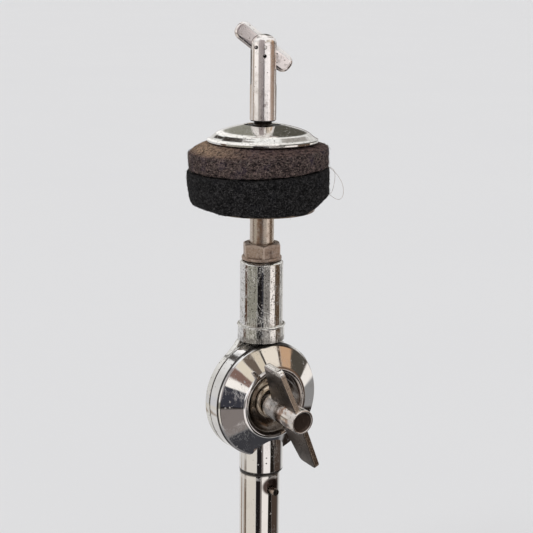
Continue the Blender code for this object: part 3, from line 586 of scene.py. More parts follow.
# wing screw, its stud and its washer
wingShape = Sizes(
    foot=0.00741, end=0.02481, radius=0.0042, dish=0.0005, edge=0.0004, shankHole=0.0022, shankEnd=0.01871,
    reach=0.0205, rootBack=0.0016, tipBack=0.007, rootFront=0.0006, tipFront=0.0016, root=0.0025,
    rootRise=0.0007, thick=0.002, corner=0.0014, bladeEdge=0.0004, lean=25, tip=0.0002)
wingEnd = Vector(wingPlace) + wingAxis * wingShape.end
wingTurn = (pi / 2 + wingDroop, 0, 0)
bladeLean = radians(wingShape.lean)
bladeSide = Matrix.Rotation(wingTurn[0], 3, "X") @ Vector((cos(bladeLean), sin(bladeLean), 0))
bladeUp = wingAxis.cross(bladeSide)
barrel = hoop(wingPlace, wingAxis, -0.001, 0.0044, 0.0002)
wingLook = dict(
    bright=(0.13, 0.108, 0.095), dull=(0.04, 0.03, 0.025), dullShare=0.9, rough=0.24, roughMore=0.2,
    cloudScale=260, pitScale=1100, pitShare=0.3, scratch=0.35, pitColour=(0.012, 0.01, 0.008),
    scratchColour=(0.34, 0.28, 0.23), stains=[
        stain([slab(wingPlace, bladeSide, -0.00078, 0.00078, 0.0001)], (0.1, 0.4), 0.85,
              (0.55, 0.44, 0.345), -0.08),
        stain([slab(wingPlace, bladeUp, 0.0186, 0.024, 0.0005)], (0.2, 0.5), 0.9, (0.86, 0.83, 0.8), -0.18),
        stain([hoop(wingPlace, wingAxis, -0.001, 0.0043, 0.0002)], (0.05, 0.3), 0.96,
              (0.84, 0.79, 0.75), -0.26),
        # painted highlight: a whitish, less metallic band at the barrel's root
        stain([barrel, slab(wingPlace, wingAxis, 0.0078, 0.014, 0.0012)], (0.25, 0.5), 0.7,
              (0.9, 0.87, 0.84), 0.15, metal=0.45),
        stain([barrel, slab(wingPlace, wingAxis, 0.016, 0.0225, 0.001)], (0.46, 0.58), 0.75,
              (0.4, 0.24, 0.16), 0.1, scale=300),
        stain([hoop(wingPlace, wingAxis, -0.001, 0.0035, 0.0002),
               slab(wingEnd, wingAxis, -0.0012, 0.002, 0.0003)],
              (0.0, 0.2), 0.97, (0.042, 0.026, 0.019), 0.4)])
studShape = Sizes(
    tip=(0.0026, -0.0074), thread=(0.003, -0.0071, 0.0066, 0.001, 0.00035), sides=48,
    shank=[(0.003, 0.0066), (0.003, 0.00711), (0.0019, 0.00711), (0.0019, 0.01841)])
studLook = dict(bright=(0.42, 0.4, 0.38), dull=(0.2, 0.15, 0.11), dullShare=0.8, rough=0.28)
washerSize = dict(radius=0.0058, hole=0.0042, bottom=0.006, top=0.0068, edge=0.0002)
washerLook = dict(
    bright=(0.62, 0.55, 0.45), dull=(0.36, 0.27, 0.19), dullShare=0.6, rough=0.16, pitShare=0.2)


def makeWing():
    size = wingShape
    radius, foot, end = size.radius, size.foot, size.end
    inner, floor = radius - 2 * size.edge, end - size.dish
    rings = [(size.tip, floor), (inner - size.dish, floor), (inner, end), (radius, end), (radius, foot)]
    rings += [(size.shankHole, foot), (size.shankHole, size.shankEnd), (size.tip, size.shankEnd)]
    screw = turnShape("wingScrew", rings)
    roundEdges(screw, size.edge * 0.8, 4, 40)
    corners = [(size.root, foot + size.rootBack + size.rootRise), (size.reach, foot + size.tipBack),
               (size.reach, end - size.tipFront), (size.root, end - size.rootFront)]
    for side in (0, pi):
        blade = plateShape("blade", corners, (0, size.corner, size.corner, 0), size.thick,
                           size.bladeEdge)
        combine(screw, setDown(blade, middle, (pi / 2, 0, pi / 2 + bladeLean + side)), "UNION")
    return setDown(screw, wingPlace, wingTurn)


plate(makeWing(), "wing_screw", "wingNickel", wingLook, 40)
studRings = [studShape.tip] + grooves(*studShape.thread) + studShape.shank
wingStud = setDown(turnShape("wingStud", studRings, studShape.sides), wingPlace, wingTurn)
plate(wingStud, "wing_stud", "studSteel", studLook)
wingWasher = setDown(washerShape("wingWasher", **washerSize), jointCentre, faceFront)
plate(wingWasher, "wing_washer", "washerPlate", washerLook)
print("wing screw made")


# rod, lock washer and nut
rodLow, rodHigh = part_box("tilter_rod")
lockLow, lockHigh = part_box("lock_washer")
nutLow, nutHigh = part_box("lock_nut")
rodParts = Sizes(
    edge=0.0003, thread=0.003, threadFrom=0.1965, threadEnd=0.0004, pitch=0.0008, depth=0.0003, tip=0.0026,
    seatGap=0.0003)
rodLook = dict(
    bright=(0.64, 0.56, 0.48), dull=(0.4, 0.3, 0.22), dullShare=0.7, rough=0.2, roughMore=0.2,
    cloudScale=300, pitScale=1300, pitShare=0.35, scratch=0.3, pitColour=(0.16, 0.09, 0.05), stains=[
        stain([slab(middle, toRight, -0.0017, 0.0002, 0.0005), facingCamera], (0.3, 0.6), 0.75,
              (0.24, 0.115, 0.055), 0.2),
        # painted shade: the thread between the domed washer and the post near black
        stain([level(0.196, 0.201, 0.0003)], (0.0, 0.3), 0.9, (0.03, 0.025, 0.022), 0.2)])
nutShape = Sizes(flats=0.0116, turn=32, hole=0.0043, edge=0.00018, sink=0.0001, room=0.001)
washerEdge = 0.0004
nutLook = dict(
    bright=(0.42, 0.31, 0.24), dull=(0.19, 0.125, 0.09), dullShare=1.0, rough=0.32, roughMore=0.25,
    cloudScale=520, pitScale=1300, pitShare=0.45, scratch=0.7, pitColour=(0.08, 0.05, 0.035), metal=0.65,
    speckle=0.3, stains=[
        stain([slab(middle, toRight, 0.0026, 0.0036, 0.0004), facingCamera], (0.3, 0.55), 0.6,
              (0.085, 0.05, 0.038), 0.1),
        # painted highlight: light lines along the nut's six vertical corners, above the washer
        stain([hoop(middle, upright, 0.00652, 0.02, 0.0001),
               level(lockHigh.z + 0.0003, nutHigh.z + 0.001, 0.0002)],
              (0.2, 0.45), 0.6, (0.66, 0.55, 0.47), -0.1),
        # painted highlight: a light band round the nut's top chamfer
        stain([hoop(middle, upright, 0.0057, 0.02, 0.0001),
               level(nutHigh.z - 0.0009, nutHigh.z + 0.001, 0.00012)],
              (0.3, 0.55), 0.5, (0.6, 0.49, 0.41), -0.1)])


def makeRod():
    size = rodParts
    edge, thread, radius = size.edge, size.thread, rodHigh.x
    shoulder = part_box("seat_washer")[0].z - size.seatGap
    rings = [(radius - edge, rodLow.z), (radius, rodLow.z + edge), (radius, shoulder), (thread, shoulder)]
    rings += grooves(thread, size.threadFrom, rodHigh.z - size.threadEnd, size.pitch, size.depth)
    return turnShape("tilterRod", rings + [(size.tip, rodHigh.z)])


def makeNut():
    size = nutShape
    bottom, top = lockHigh.z - size.sink, nutHigh.z  # down on the washer
    half, room = size.flats / 2, size.room
    corner = half / cos(pi / 6)
    nut = rodShape("lockNut", corner, bottom, top, 6)
    setDown(nut, middle, (0, 0, radians(size.turn)))
    drop = (corner + room - half) * tan(pi / 6)
    cone = turnShape("nutCone", [(corner + room, bottom - room), (corner + room, top - drop), (half, top),
                                 (half, top + room)])
    combine(nut, cone, "INTERSECT")
    drill(nut, size.hole, bottom - room, top + room, 64)
    return roundEdges(nut, size.edge, 2, 30)


plate(makeRod(), "tilter_rod", "rodNickel", rodLook)
lockWasher = washerShape("lockWasher", lockHigh.x, nutShape.hole, lockLow.z, lockHigh.z, washerEdge)
plate(lockWasher, "lock_washer", "washerBrown", nutLook)
plate(makeNut(), "lock_nut", "nutBrown", nutLook, 25)
print("rod and nut made")


# cymbal seat: steel washer, sleeve and the domed washer
seatShape = Sizes(inset=0.0007, hole=0.0033, edge=0.00025, sleeveEdge=0.0003)
# darker all over: painted shade, the seat washer lies in shade under the felts
seatLook = dict(bright=(0.26, 0.2, 0.15), dull=(0.09, 0.066, 0.048), dullShare=0.8, rough=0.25)
sleeveLook = dict(
    scale=400, specks=0.15, dark=(0.012, 0.012, 0.012), worn=(0.035, 0.033, 0.032), fleck=(0.1, 0.09, 0.085),
    rough=0.5)
domeShape = Sizes(
    lip=0.0023, lipRise=0.0016, thick=0.0008, hole=0.0061, steps=24, foot=0.8, lipSteps=8, lipHollow=0.43,
    edge=0.0003)
domeLook = dict(
    bright=(0.82, 0.81, 0.78), dull=(0.5, 0.48, 0.42), dullShare=0.45, rough=0.04, cloudScale=420,
    speckle=0.3)
seatLow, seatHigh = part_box("seat_washer")
seatWasher = washerShape("seatWasher", seatHigh.x - seatShape.inset, seatShape.hole, seatLow.z,
                         seatHigh.z, seatShape.edge, 128)
plate(seatWasher, "seat_washer", "seatSteel", seatLook)
sleeveLow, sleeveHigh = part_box("cymbal_sleeve")
cymbalSleeve = washerShape("cymbalSleeve", sleeveHigh.x, seatShape.hole, sleeveLow.z, sleeveHigh.z,
                           seatShape.sleeveEdge)
dress(shadeBy(cymbalSleeve), "cymbal_sleeve", darkStuff("sleevePlastic", sleeveLook))


def makeDome():
    size = domeShape
    low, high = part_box("top_washer")
    radius = (high.x - low.x) / 2
    span = radius - size.lip - size.hole
    rise = high.z - low.z - size.thick - size.lipRise
    top = []
    for step in range(size.steps + 1):  # flat crown, steeper and steeper towards its foot
        share = size.foot * step / size.steps
        out = (1 - (1 - share) ** 2) / (1 - (1 - size.foot) ** 2)
        top.append((size.hole + span * out, high.z - rise * step / size.steps))
    for step in range(1, size.lipSteps + 1):  # the lip is steep at its root and flatter at the rim
        share = step / size.lipSteps
        fall = share * (1 + size.lipHollow * (1 - share))
        height = low.z + size.thick + size.lipRise * (1 - fall)
        top.append((radius - size.lip * (1 - share), height))
    under = [(out, height - size.thick) for out, height in reversed(top)]
    dome = turnShape("domeWasher", top + under, 160, True)
    return roundEdges(dome, size.edge, 4, 70)


plate(makeDome(), "top_washer", "domeChrome", domeLook, 30)
print("cymbal seat made")


# toggle post, its pin and its flip lever
postLow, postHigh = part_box("toggle_post")
pivot = (0, 0, flipHeight)
acrossSlot = (pi / 2, 0, slotTurn)
acrossWay = Vector((sin(slotTurn), -cos(slotTurn), 0))  # from cheek to cheek of the slot
postShape = Sizes(
    radius=0.0043, dome=0.003, domeSteps=10, edge=0.0004, slotEdge=0.00015, thread=0.0033, web=0.0015,
    slotBottom=0.21115, slotSize=(0.02, 0.0032, 0.03), pinHole=0.00066, drillReach=0.008, detent=0.0027,
    detentHole=0.00055, bandsFrom=0.218, bandStep=0.0007, bands=9)  # short bands, so shading stays even
postHoles = [way * postShape.detent + Vector(pivot)
             for way in (Vector((-cos(slotTurn), -sin(slotTurn), 0)), -upright)]  # from the pin
postLook = dict(
    bright=(0.9, 0.86, 0.84), dull=(0.66, 0.58, 0.53), dullShare=0.5, rough=0.13, roughMore=0.14,
    cloudScale=300, pitScale=1000, pitSize=0.22, pitColour=(0.2, 0.15, 0.12), stains=[
        # painted shade: the slot's walls and floor near black
        stain([slab(middle, acrossWay, -0.00168, 0.00168, 0.00003), level(0.2113, 0.24, 0.0001)],
              wholeStain, 0.97, (0.012, 0.01, 0.009), 0.4),
        stain([slab(middle, toRight, -0.001, 0.0014, 0.0006), level(0.19, 0.2085, 0.0015), facingCamera],
              (0.5, 0.62), 0.6, (0.22, 0.16, 0.15), 0.15, scale=700),
        # painted shade: the insides of the two detent holes near black
        *(stain([hoop(spot, acrossWay, -0.001, 0.0006, 0.00003)], wholeStain, 0.99, (0.006, 0.005, 0.005),
                0.5, metal=0.1) for spot in postHoles)])
togglePinShape = Sizes(radius=0.0006, half=0.0041, edge=0.0002, sides=40)
pinSteelLook = dict(bright=(0.88, 0.85, 0.83), dullShare=0.2, rough=0.2, pitShare=0.1)
leverShape = Sizes(
    long=0.0216, wide=0.0062, thick=0.0026, corner=0.0027, edge=0.0011, tilt=37.7, hole=0.0009, pocket=0.001,
    pocketAt=-0.0027, pocketFloor=-0.0009, drillReach=0.004)
leverTilt = radians(leverShape.tilt)
leverUp = Matrix.Rotation(slotTurn, 3, "Z") @ Vector((sin(leverTilt), 0, cos(leverTilt)))
leverLook = dict(
    bright=(0.84, 0.78, 0.755), dull=(0.54, 0.46, 0.425), dullShare=0.6, rough=0.1, roughMore=0.12,
    cloudScale=420, pitShare=0.45, pitColour=(0.2, 0.16, 0.145), stains=[
        # painted highlight: a white band along the lever's upper edge
        stain([slab(pivot, leverUp, 0.0019, 0.004, 0.0003)], (0.1, 0.3), 0.9, (0.96, 0.94, 0.92), 0.2,
              metal=0.25)])


def makePost():
    size = postShape
    radius, edge, dome, thread = size.radius, size.edge, size.dome, size.thread
    web = size.slotBottom - size.web
    rings = [(tinyRing, web), (thread, web), (thread, postLow.z), (radius - edge, postLow.z)]
    rings += [(radius, postLow.z + edge)]
    rings += [(radius, size.bandsFrom + size.bandStep * step) for step in range(size.bands)]
    rings += arcRings(radius - dome, postHigh.z - dome, dome, 0, 90, size.domeSteps)
    post = turnShape("togglePost", rings + [(tinyRing, postHigh.z)], 192)
    slotPlace = (0, 0, size.slotBottom + size.slotSize[2] / 2)
    combine(post, boxShape("slot", size.slotSize, slotPlace, (0, 0, slotTurn)), "DIFFERENCE")
    roundEdges(post, size.slotEdge, 2, 40)
    drill(post, size.pinHole, -size.drillReach, size.drillReach, 32, pivot, acrossSlot)
    for spot in postHoles:
        drill(post, size.detentHole, 0, size.drillReach, 32, spot, acrossSlot)
    return post


def makeLever():
    size = leverShape
    x, y, reach = size.long / 2, size.wide / 2, size.drillReach
    corners = [(-x, -y), (x, -y), (x, y), (-x, y)]
    lever = plateShape("toggleLever", corners, (size.corner,) * 4, size.thick, size.edge)
    drill(lever, size.hole, -reach, reach, 32)
    drill(lever, size.pocket, size.pocketFloor, reach, 32, (size.pocketAt, 0, 0))
    return setDown(lever, pivot, (pi / 2, leverTilt, slotTurn))


def makeTogglePin():
    size = togglePinShape
    pin = rodShape("togglePin", size.radius, -size.half, size.half, size.sides)
    return setDown(roundEdges(pin, size.edge), pivot, acrossSlot)


plate(makePost(), "toggle_post", "postNickel", postLook)
plate(makeTogglePin(), "toggle_pin", "pinSteel", pinSteelLook)
plate(makeLever(), "toggle_lever", "leverNickel", leverLook, 40)
print("toggle made")


# pieces that keep their own shape and get a finish
ballLook = dict(bright=(0.75, 0.74, 0.72), dullShare=0.2, rough=0.08, pitShare=0.05)
fibreLook = dict(
    scale=500, specks=0.3, dark=(0.05, 0.038, 0.03), worn=(0.1, 0.075, 0.055), fleck=(0.2, 0.15, 0.11),
    rough=0.8)
frame["nodes"]["detent_ball"].material_slots[0].material = agedMetal("ballSteel", ballLook)
frame["nodes"]["friction_disc"].material_slots[0].material = darkStuff("frictionFibre", fibreLook)


# the two felts
feltRows = dict(  # upper felt, lower felt
    node=("upper_felt", "lower_felt"), topRound=(0.0011, 0.0007), lowRound=(0.0008, 0.0006),
    voxel=(0.00042, 0.00046), swell=(0.00026, 0.00022), nap=(0.00016, 0.00012), worn=(0.00158, 0.0),
    wornLeft=(0.0008, 0.0), wornFront=(0.00035, 0.0), underCut=(0.0, 0.0042), leftCut=(0.0, 0.0012),
    taper=(0.0006, 0.0012), seed=(3.7, 9.1), finish=("greyFelt", "blackFelt"),
    dark=((0.007, 0.005, 0.006), (0.0013, 0.0013, 0.0015)),
    mid=((0.058, 0.04, 0.041), (0.0055, 0.0055, 0.006)), light=((0.36, 0.265, 0.225), (0.105, 0.1, 0.1)),
    tint=((0.038, 0.029, 0.052), (0.007, 0.007, 0.01)),
    wornColour=((0.42, 0.29, 0.19), (0.02, 0.019, 0.018)), wornAmount=(0.9, 0.1), flecks=(0.22, 0.12),
    # painted light: the upper felt's top face lighter and redder than its sides
    rubbed=((0.17, 0.105, 0.09), (0.02, 0.018, 0.017)), rubbedAmount=(0.5, 0.0))
feltSet = [Sizes(**dict(zip(feltRows, values))) for values in zip(*feltRows.values())]
seamShape = Sizes(left=0.0005, right=0.0012, front=0.0004)  # how far the felts' joint dips or climbs
feltShape = Sizes(
    hole=0.00715, flatTo=(0.0185, 0.0205), wornFrom=0.0165, wornPast=0.002, wornGain=1.6,
    seamFrom=(0.01, 0.022), cutHigh=0.0092, cutFrom=0.0194, cutRight=(0.62, 0.98), cutLeft=(0.4, 0.9),
    taperLeft=(0.2, 0.9), swellScale=230, napScale=620, fineScale=1500, fineShare=0.7, middleLift=0.2,
    smooth=80)
woolHairs = [((0.4, 0.2, 0.9), 500, 2400, 0.05), ((-0.5, 0.3, -0.8), 600, 2600, 0.045),
             ((1.4, 0.2, 0.3), 500, 2400, 0.045)]


def feltBox(node):
    low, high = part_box(node)
    return low, high, (low + high) / 2, (high.x - low.x) / 2


def makeFelt(name, size):
    low, high, centre, radius = feltBox(size.node)
    felt = startShape(name, meshOps.primitive_cylinder_add, vertices=128, radius=radius,
                      depth=high.z - low.z, location=centre)
    pickOnly(felt)
    objectOps.mode_set(mode="EDIT")
    pickParts(felt, "FACE", lambda face: abs(face.normal.z) > 0.9)
    meshOps.inset(thickness=radius - feltShape.hole)
    meshOps.bridge_edge_loops()
    for rimHeight, width in ((high.z, size.topRound), (low.z, size.lowRound)):
        def onRim(edge):
            ends = [felt.data.vertices[index].co for index in edge.vertices]
            return all(abs(spot.z - rimHeight) < 0.00001 and (spot - centre).xy.length > radius * 0.99
                       for spot in ends)
        pickParts(felt, "EDGE", onRim)
        meshOps.bevel(offset=width, segments=6)
    closeMesh()
    useModifier(felt, "REMESH", mode="VOXEL", voxel_size=size.voxel)
    return useModifier(felt, "SMOOTH", factor=0.5, iterations=3)


def ease(value, low, high):  # soft step from 0 to 1
    share = max(0.0, min(1.0, (value - low) / (high - low)))
    return share * share * (3 - 2 * share)


def workFelt(felt, size):  # pressed, worn and napped by moving its points
    low, high, centre, radius = feltBox(size.node)
    form = feltShape
    onTop = size.node == "upper_felt"
    normals = [vert.normal.copy() for vert in felt.data.vertices]
    shift = Vector((size.seed, size.seed * 0.7, size.seed * 1.3))
    for vert, normal in zip(felt.data.vertices, normals):
        spot = vert.co.copy()
        out = spot - centre
        out.z = 0
        away = out.length
        side = out.normalized()
        left, front = -side.dot(toRight), side.dot(toCamera)
        edge = ease(away, *form.flatTo)  # the seat and the dome keep the middle flat
        share = (spot.z - low.z) / (high.z - low.z)
        lift = noise.noise(spot * form.swellScale + shift) * size.swell
        lift += noise.noise(spot * form.napScale + shift) * size.nap
        lift += noise.noise(spot * form.fineScale + shift) * size.nap * form.fineShare
        vert.co = spot + normal * lift * (form.middleLift + (1 - form.middleLift) * edge)
        drop = size.worn + size.wornLeft * left + size.wornFront * front
        drop *= ease(away, form.wornFrom, radius + form.wornPast)
        vert.co.z -= drop * form.wornGain * max(0.0, share)
        seamShare = 1 - share if onTop else share
        dip = seamShape.left * max(0.0, left) - seamShape.right * max(0.0, -left)
        dip += seamShape.front * max(0.0, front)
        vert.co.z -= dip * ease(away, *form.seamFrom) * max(0.0, min(1.0, seamShare))
        under = max(0.0, min(1.0, 1 - (spot.z - low.z) / form.cutHigh))  # low edge, cut at both sides
        outer = max(0.0, (away - form.cutFrom) / (radius - form.cutFrom))
        raised = size.underCut * ease(-left, *form.cutRight) + size.leftCut * ease(left, *form.cutLeft)
        vert.co.z += raised * under * outer
        vert.co -= side * size.taper * ease(left, *form.taperLeft) * under * outer
    felt.data.update()
    return felt


def woolFinish(look):
    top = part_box(look.node)[1].z
    material, sheet, spot = newSheet(look.finish)
    flat = sheet.node("Mapping", {"Vector": spot, "Scale": (1, 1, 1.6)})
    clumps = sheet.cloud(flat, 1000, 5, 0.7, 0.8)
    fine = sheet.cloud(flat, 2600, 3, 0.65, 1.0)
    hairs = sheet.lines(spot, woolHairs)
    tinted = sheet.rise(sheet.cloud(spot, 300, 3), 0.52, 0.68)
    place = sheet.node("SeparateXYZ", {0: spot})
    leftward = place * -toRight.x + place.other("Y") * -toRight.y
    onTop = sheet.rise(place.other("Z") + 0.048 * leftward, top - 0.0026, top - 0.0019)
    worn = sheet.rise(place.other("Z"), top - 0.0034, top - 0.0018) * sheet.rise(leftward, 0.002, 0.021)
    worn = worn * sheet.rise(clumps + 0.25 * fine, 0.48, 0.72) * look.wornAmount
    colour = sheet.blend(sheet.rise(clumps, 0.4, 0.6), look.dark, look.mid)
    layers = [(tinted * 0.5, "tint"), (sheet.rise(fine, 0.5, 0.36) * 0.8, "dark"),
              (sheet.rise(fine, 0.54, 0.74) * 0.6, "light"),
              (hairs * sheet.rise(clumps, 0.42, 0.62) * 0.6, "light"),
              (sheet.spots(flat, 1500, 0.34, look.flecks) * 0.75, "light"),
              # painted light on the top face
              (onTop * sheet.rise(clumps, 0.36, 0.6) * look.rubbedAmount, "rubbed"),
              (worn, "wornColour")]
    for share, shade in layers:
        colour = sheet.blend(share, colour, getattr(look, shade))
    sheet.surface(colour, 0.95, 0.00022 * clumps + 0.00014 * fine + 0.00005 * hairs, gloss=0.12)
    return material


def feltPiece(name, size):
    felt = workFelt(makeFelt(name, size), size)
    pickOnly(felt)
    objectOps.shade_smooth_by_angle(angle=radians(feltShape.smooth))
    return dress(felt, size.node, woolFinish(size))


upperFelt = feltPiece("upperFelt", feltSet[0])
lowerFelt = feltPiece("lowerFelt", feltSet[1])
print("felts made")


# loose wool fibres on the felts
fibreSet = {
    "upperFibres": Sizes(felt=upperFelt, node="upper_felt", count=1500, seed=11, long=0.0016, thick=0.000032,
                         light=(0.24, 0.2, 0.17), dark=(0.04, 0.03, 0.032)),
    "lowerFibres": Sizes(felt=lowerFelt, node="lower_felt", count=1500, seed=23, long=0.0014, thick=0.000026,
                         light=(0.06, 0.06, 0.062), dark=(0.004, 0.004, 0.0045))}
fibreShape = Sizes(
    outside=0.019, flatFrom=0.97, reach=(0.4, 1.2), lift=(0.00004, 0.00022), sway=(-0.35, 0.35), steps=3,
    root=0.0001)


def newStrands(name, thick, sides):
    curve = bpy.data.curves.new(name, "CURVE")
    curve.dimensions = "3D"
    curve.bevel_depth = thick
    curve.bevel_resolution = sides
    return curve


def layStrands(name, curve, look):  # a mesh that rides with its felt
    strands = bpy.data.objects.new(name, curve)
    bpy.context.scene.collection.objects.link(strands)
    pickOnly(strands)
    objectOps.convert(target="MESH")
    strands = bpy.context.object
    material, sheet, spot = newSheet(name + "Wool")
    share = sheet.rise(sheet.cloud(spot, 700, 3), 0.4, 0.62)
    colour = sheet.blend(share, look.dark, look.light)
    sheet.surface(colour, 0.8, gloss=0.2)
    dress(strands, look.node, material, False)


def makeFibres(name, look):
    luck = random.Random(look.seed)
    mesh = look.felt.data
    centre = feltBox(look.node)[2]
    steps = fibreShape.steps
    shown = [face.index for face in mesh.polygons
             if (face.center - centre).xy.length > fibreShape.outside
             and abs(face.normal.z) < fibreShape.flatFrom]
    curve = newStrands(name, look.thick, 0)
    for count in range(look.count):
        face = mesh.polygons[luck.choice(shown)]
        normal = face.normal.copy()
        start = face.center.copy()
        run = Vector((luck.uniform(-1, 1), luck.uniform(-1, 1), luck.uniform(-0.7, 0.7)))
        run = (run - normal * run.dot(normal)).normalized()
        cross = normal.cross(run)
        reach = look.long * luck.uniform(*fibreShape.reach)
        lift = luck.uniform(*fibreShape.lift)
        sway = luck.uniform(*fibreShape.sway)
        spline = curve.splines.new("POLY")
        spline.points.add(steps)
        for index, point in enumerate(spline.points):
            share = index / steps
            rise = lift * sin(pi * share * 0.8 + 0.2) - (0 if index else fibreShape.root)
            spot = start + run * reach * share + cross * reach * sway * share * share + normal * rise
            point.co = (*spot, 1)
            point.radius = 1 - 0.5 * share
    layStrands(name, curve, look)


for name, look in fibreSet.items():
    makeFibres(name, look)

# two loose threads at the right of the lower felt, (distance from its axis, height)
threadLook = Sizes(
    node="lower_felt", thick=0.00006, light=(0.62, 0.52, 0.44), dark=(0.4, 0.32, 0.26),
    sway=(0.0035, -0.0028),  # how far each loop swings out of its plane
    loops=[[(0.0226, 0.1847), (0.024, 0.1842), (0.0261, 0.1821), (0.0274, 0.18), (0.0279, 0.1777),
            (0.0278, 0.1757), (0.027, 0.1743), (0.0256, 0.1742), (0.0242, 0.175), (0.0226, 0.1762)],
           [(0.0226, 0.1846), (0.0243, 0.1842), (0.0252, 0.1829), (0.0254, 0.1812), (0.0252, 0.179),
            (0.0247, 0.1768), (0.024, 0.1752), (0.0226, 0.1757)]])


def makeThreads(name, look):
    centre = feltBox(look.node)[2]
    curve = newStrands(name, look.thick, 1)
    curve.resolution_u = 4
    for loop, sway in zip(look.loops, look.sway):
        spline = curve.splines.new("NURBS")
        spline.points.add(len(loop) - 1)
        spline.use_endpoint_u = True
        for index, (point, (away, height)) in enumerate(zip(spline.points, loop)):
            swing = sway * sin(pi * index / (len(loop) - 1))
            spot = centre + toRight * away + toCamera * swing
            point.co = (spot.x, spot.y, height, 1)
    layStrands(name, curve, look)


makeThreads("looseThreads", threadLook)
print("fibres made")


# floor, light and camera
floorLook = Sizes(pale=(0.8, 0.8, 0.8), shade=(0.78, 0.78, 0.785), wide=60, drop=0.0002)


def makeFloor():
    floor = startShape("studioFloor", meshOps.primitive_plane_add, size=floorLook.wide)
    floor.location.z = -floorLook.drop
    material, sheet, spot = newSheet("palePaper")
    colour = sheet.blend(sheet.cloud(spot, 3, 3), floorLook.pale, floorLook.shade)
    sheet.surface(colour, 0.9, gloss=0.1)
    floor.data.materials.append(material)
    floor.visible_glossy = False
    floor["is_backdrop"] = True


makeFloor()

roomLight = Sizes(
    camera=(0.74, 0.74, 0.745), soft=(0.7, 0.7, 0.71), down=(0.22, 0.215, 0.22), level=(0.72, 0.71, 0.7),
    up=(1.0, 1.0, 1.0), lowBand=(-60, -30), highBand=(10, 45), behind=(98, 104),
    eyeRise=8.3)  # the camera's height in degrees, seen from the domed washer
# what the bright metal mirrors, in degrees: two bearings from the camera, two heights, softness, colour
cards = [
    # low on the left and round to the right: tube, collar and socket
    (-104, -81, -27, -21.4, 1.5, 0.36, 0.3, 0.25),
    (-134, -118, -27, -21.4, 1.5, 0.36, 0.3, 0.25),
    (-92, -85, -27, -21.4, 1.5, 0.1, 0.07, 0.05),
    (-134, -81, -21.4, -17, 1.5, 0.7, 0.67, 0.62),
    (-81, -22, -42, -19, 2, 0.76, 0.72, 0.66),
    (-157, -97, -17.5, -7, 1.5, 0.66, 0.66, 0.68),
    (-97, -80, -17.5, -7, 1.5, 0.1, 0.055, 0.035),
    (-79, -22, -18.5, -7, 1.5, 0.3, 0.29, 0.25),
    (-21, 13, -42, -7, 1, 0.014, 0.012, 0.012),
    (4, 20, -52, -19, 1.5, 0.24, 0.21, 0.2),
    (13, 50, -42, -19, 1.5, 0.98, 0.93, 0.91),
    (50, 74, -42, -19, 1.5, 0.015, 0.012, 0.01),
    (74, 126, -42, -19, 2, 0.07, 0.05, 0.04),
    (14, 47, -18.5, -7, 1.5, 0.24, 0.225, 0.215),
    (48, 77, -18.5, -7, 1.5, 1.05, 0.98, 0.96),
    (77, 116, -18.5, -7, 2, 0.12, 0.08, 0.055),
    # level with the post and the lever
    (-104, -84, -6.5, -1.5, 1, 0.42, 0.34, 0.265),
    (-160, -118, -6.5, -1.5, 1, 0.42, 0.34, 0.265),
    (-82, -42, -7, 14, 3, 1.12, 1.09, 1.06),
    (-42, 12, -7, 50, 1, 0.37, 0.33, 0.33),
    (12, 62, -7, 8, 1, 1.12, 1.09, 1.09),
    (62, 104, -7, 22, 3, 0.32, 0.215, 0.15),
    (104, 181, -7, 3, 2, 0.14, 0.115, 0.1),
    # the ring that the joint's cone shows, from its left over the top to its right
    (3, 9.6, -16.5, 1, 0.6, 0.045, 0.045, 0.058),
    (3, 12, 1, 6, 0.6, 0.045, 0.045, 0.058),
    (9, 17, 6, 15, 1, 1.1, 1.05, 1.0),
    (15, 24, 14, 24, 1, 0.24, 0.15, 0.125),
    (23, 33, 21, 33, 1, 0.84, 0.76, 0.63),
    (33, 45, 25, 42, 1, 0.16, 0.125, 0.1),
    (45, 56.5, 26, 42, 1, 0.74, 0.65, 0.52),
    (56.5, 60, 26, 42, 0.7, 0.07, 0.055, 0.045),
    (60, 84, 24, 42, 1, 0.94, 0.85, 0.74),
    (84, 87.5, 18, 42, 0.7, 0.06, 0.035, 0.02),
    (87.5, 101, 14, 36, 1, 0.62, 0.4, 0.25),
    (101, 117, -1, 22, 1, 0.085, 0.075, 0.062),
    (115, 125, -11.5, -1, 1, 1.0, 0.95, 0.9),
    (123, 138, -25, -11, 1.2, 0.29, 0.285, 0.285),
    (128, 141, -50, -25, 1.2, 0.02, 0.015, 0.012),
    (15, 181, -78, -52, 2, 0.05, 0.05, 0.057)]
# behind the object, what the domed washer shows: two bearings of its faces, two slopes, softness, colour
domeCards = [
    (-82, -4, 4, 23, 2, 0.29, 0.285, 0.245),
    (-4, 14, 4, 23, 3, 0.5, 0.49, 0.46),
    (14, 84, 4, 29, 2, 0.1, 0.095, 0.08),
    (-88, 18, 23, 35, 1, 1.15, 1.13, 1.12),
    (18, 46, 29, 35, 1.5, 1.05, 1.03, 1.02),
    (-53, -24, 36, 48, 1.2, 0.06, 0.052, 0.046),
    (-24, -10, 37, 45, 2, 0.34, 0.32, 0.3),
    (-74, -53, 40, 47, 1.2, 0.06, 0.052, 0.046),
    (22, 62, 36, 46, 3, 0.4, 0.38, 0.36)]


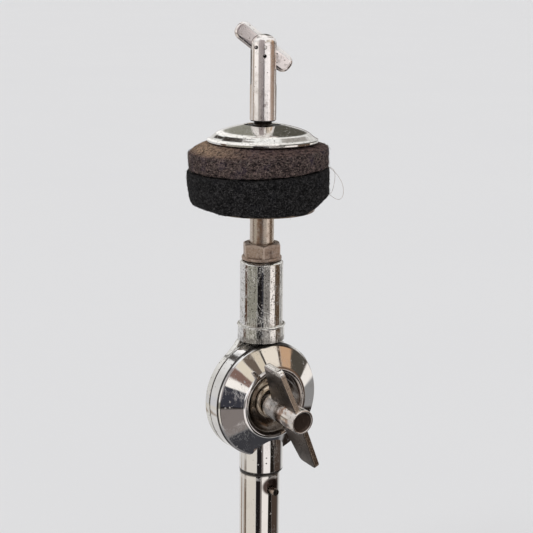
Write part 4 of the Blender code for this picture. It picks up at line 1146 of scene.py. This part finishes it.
def makeRoom():
    world = bpy.data.worlds.new("studioRoom")
    bpy.context.scene.world = world
    world.use_nodes = True
    world.cycles.sampling_method = "NONE"
    sheet = Sheet(world.node_tree)
    degrees = 180 / pi
    eyeRise = radians(roomLight.eyeRise)
    eyeWay = toCamera * cos(eyeRise) + Vector((0, 0, sin(eyeRise)))

    def bearingOf(way):  # in degrees from the camera, with the way's share of up
        ahead, aside = (sheet.vector("DOT_PRODUCT", way, side) for side in (toCamera, toRight))
        upward = sheet.node("SeparateXYZ", {0: way}, "Z")
        return aside.maths("ARCTAN2", aside, ahead) * degrees, upward

    way = sheet.node("TexCoord", out="Generated")
    bearing, upward = bearingOf(way)
    height = upward.maths("ARCSINE", upward) * degrees
    colour = sheet.blend(sheet.rise(height, *roomLight.lowBand), roomLight.down, roomLight.level)
    colour = sheet.blend(sheet.rise(height, *roomLight.highBand), colour, roomLight.up)
    for left, right, low, high, soft, *shade in cards:
        mask = sheet.band(bearing, left, right, soft) * sheet.band(height, low, high, soft)
        colour = sheet.blend(mask, colour, shade)
    half = sheet.vector("NORMALIZE", sheet.vector("ADD", way, eyeWay))  # the way a mirror would face
    around, upward = bearingOf(half)
    slope = upward.maths("ARCCOSINE", upward) * degrees
    behind = sheet.rise(abs(bearing), *roomLight.behind)
    for left, right, low, high, soft, *shade in domeCards:
        mask = sheet.band(around, left, right, soft) * sheet.band(slope, low, high, soft)
        colour = sheet.blend(mask * behind, colour, shade)
    path = sheet.node("LightPath", out="Is Camera Ray")
    mirror = path.other("Is Glossy Ray").most(path.other("Is Transmission Ray"))
    shown = sheet.blend(mirror, roomLight.soft, colour)
    shown = sheet.blend(path, shown, roomLight.camera)
    sky = sheet.node("Background", {"Color": shown, "Strength": 1.0})
    sheet.node("OutputWorld", {"Surface": sky})


makeRoom()
sunLook = Sizes(place=-toRight * 0.55 + toCamera * 0.35 + Vector((0, 0, 0.9)), strength=0.9, angle=30)
sunLight = bpy.data.lights.new("softSun", "SUN")
sunLight.energy = sunLook.strength
sunLight.angle = radians(sunLook.angle)
softSun = bpy.data.objects.new("softSun", sunLight)
bpy.context.scene.collection.objects.link(softSun)
softSun.rotation_euler = (-sunLook.place).to_track_quat("-Z", "Y").to_euler()
softSun.visible_glossy = False


def makeCamera():
    yaw = aim - atan(camera.shiftPx / camera.focal)
    lens = bpy.data.cameras.new("photoCamera")
    lens.sensor_width = camera.sensor
    lens.lens = camera.sensor * camera.focal / camera.framePx
    lens.clip_start = camera.clipStart
    eye = bpy.data.objects.new("photoCamera", lens)
    bpy.context.scene.collection.objects.link(eye)
    eye.matrix_world = (
        Matrix.Translation(toCamera * camera.away + Vector((0, 0, tiltHeight + camera.height)))
        @ Matrix.Rotation(yaw, 4, "Z") @ Matrix.Rotation(pi / 2 - radians(camera.pitch), 4, "X")
        @ Matrix.Rotation(radians(camera.roll), 4, "Z"))
    bpy.context.scene.camera = eye


makeCamera()
bpy.context.scene.view_settings.view_transform = "Standard"
low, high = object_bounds()
print("scene ready")
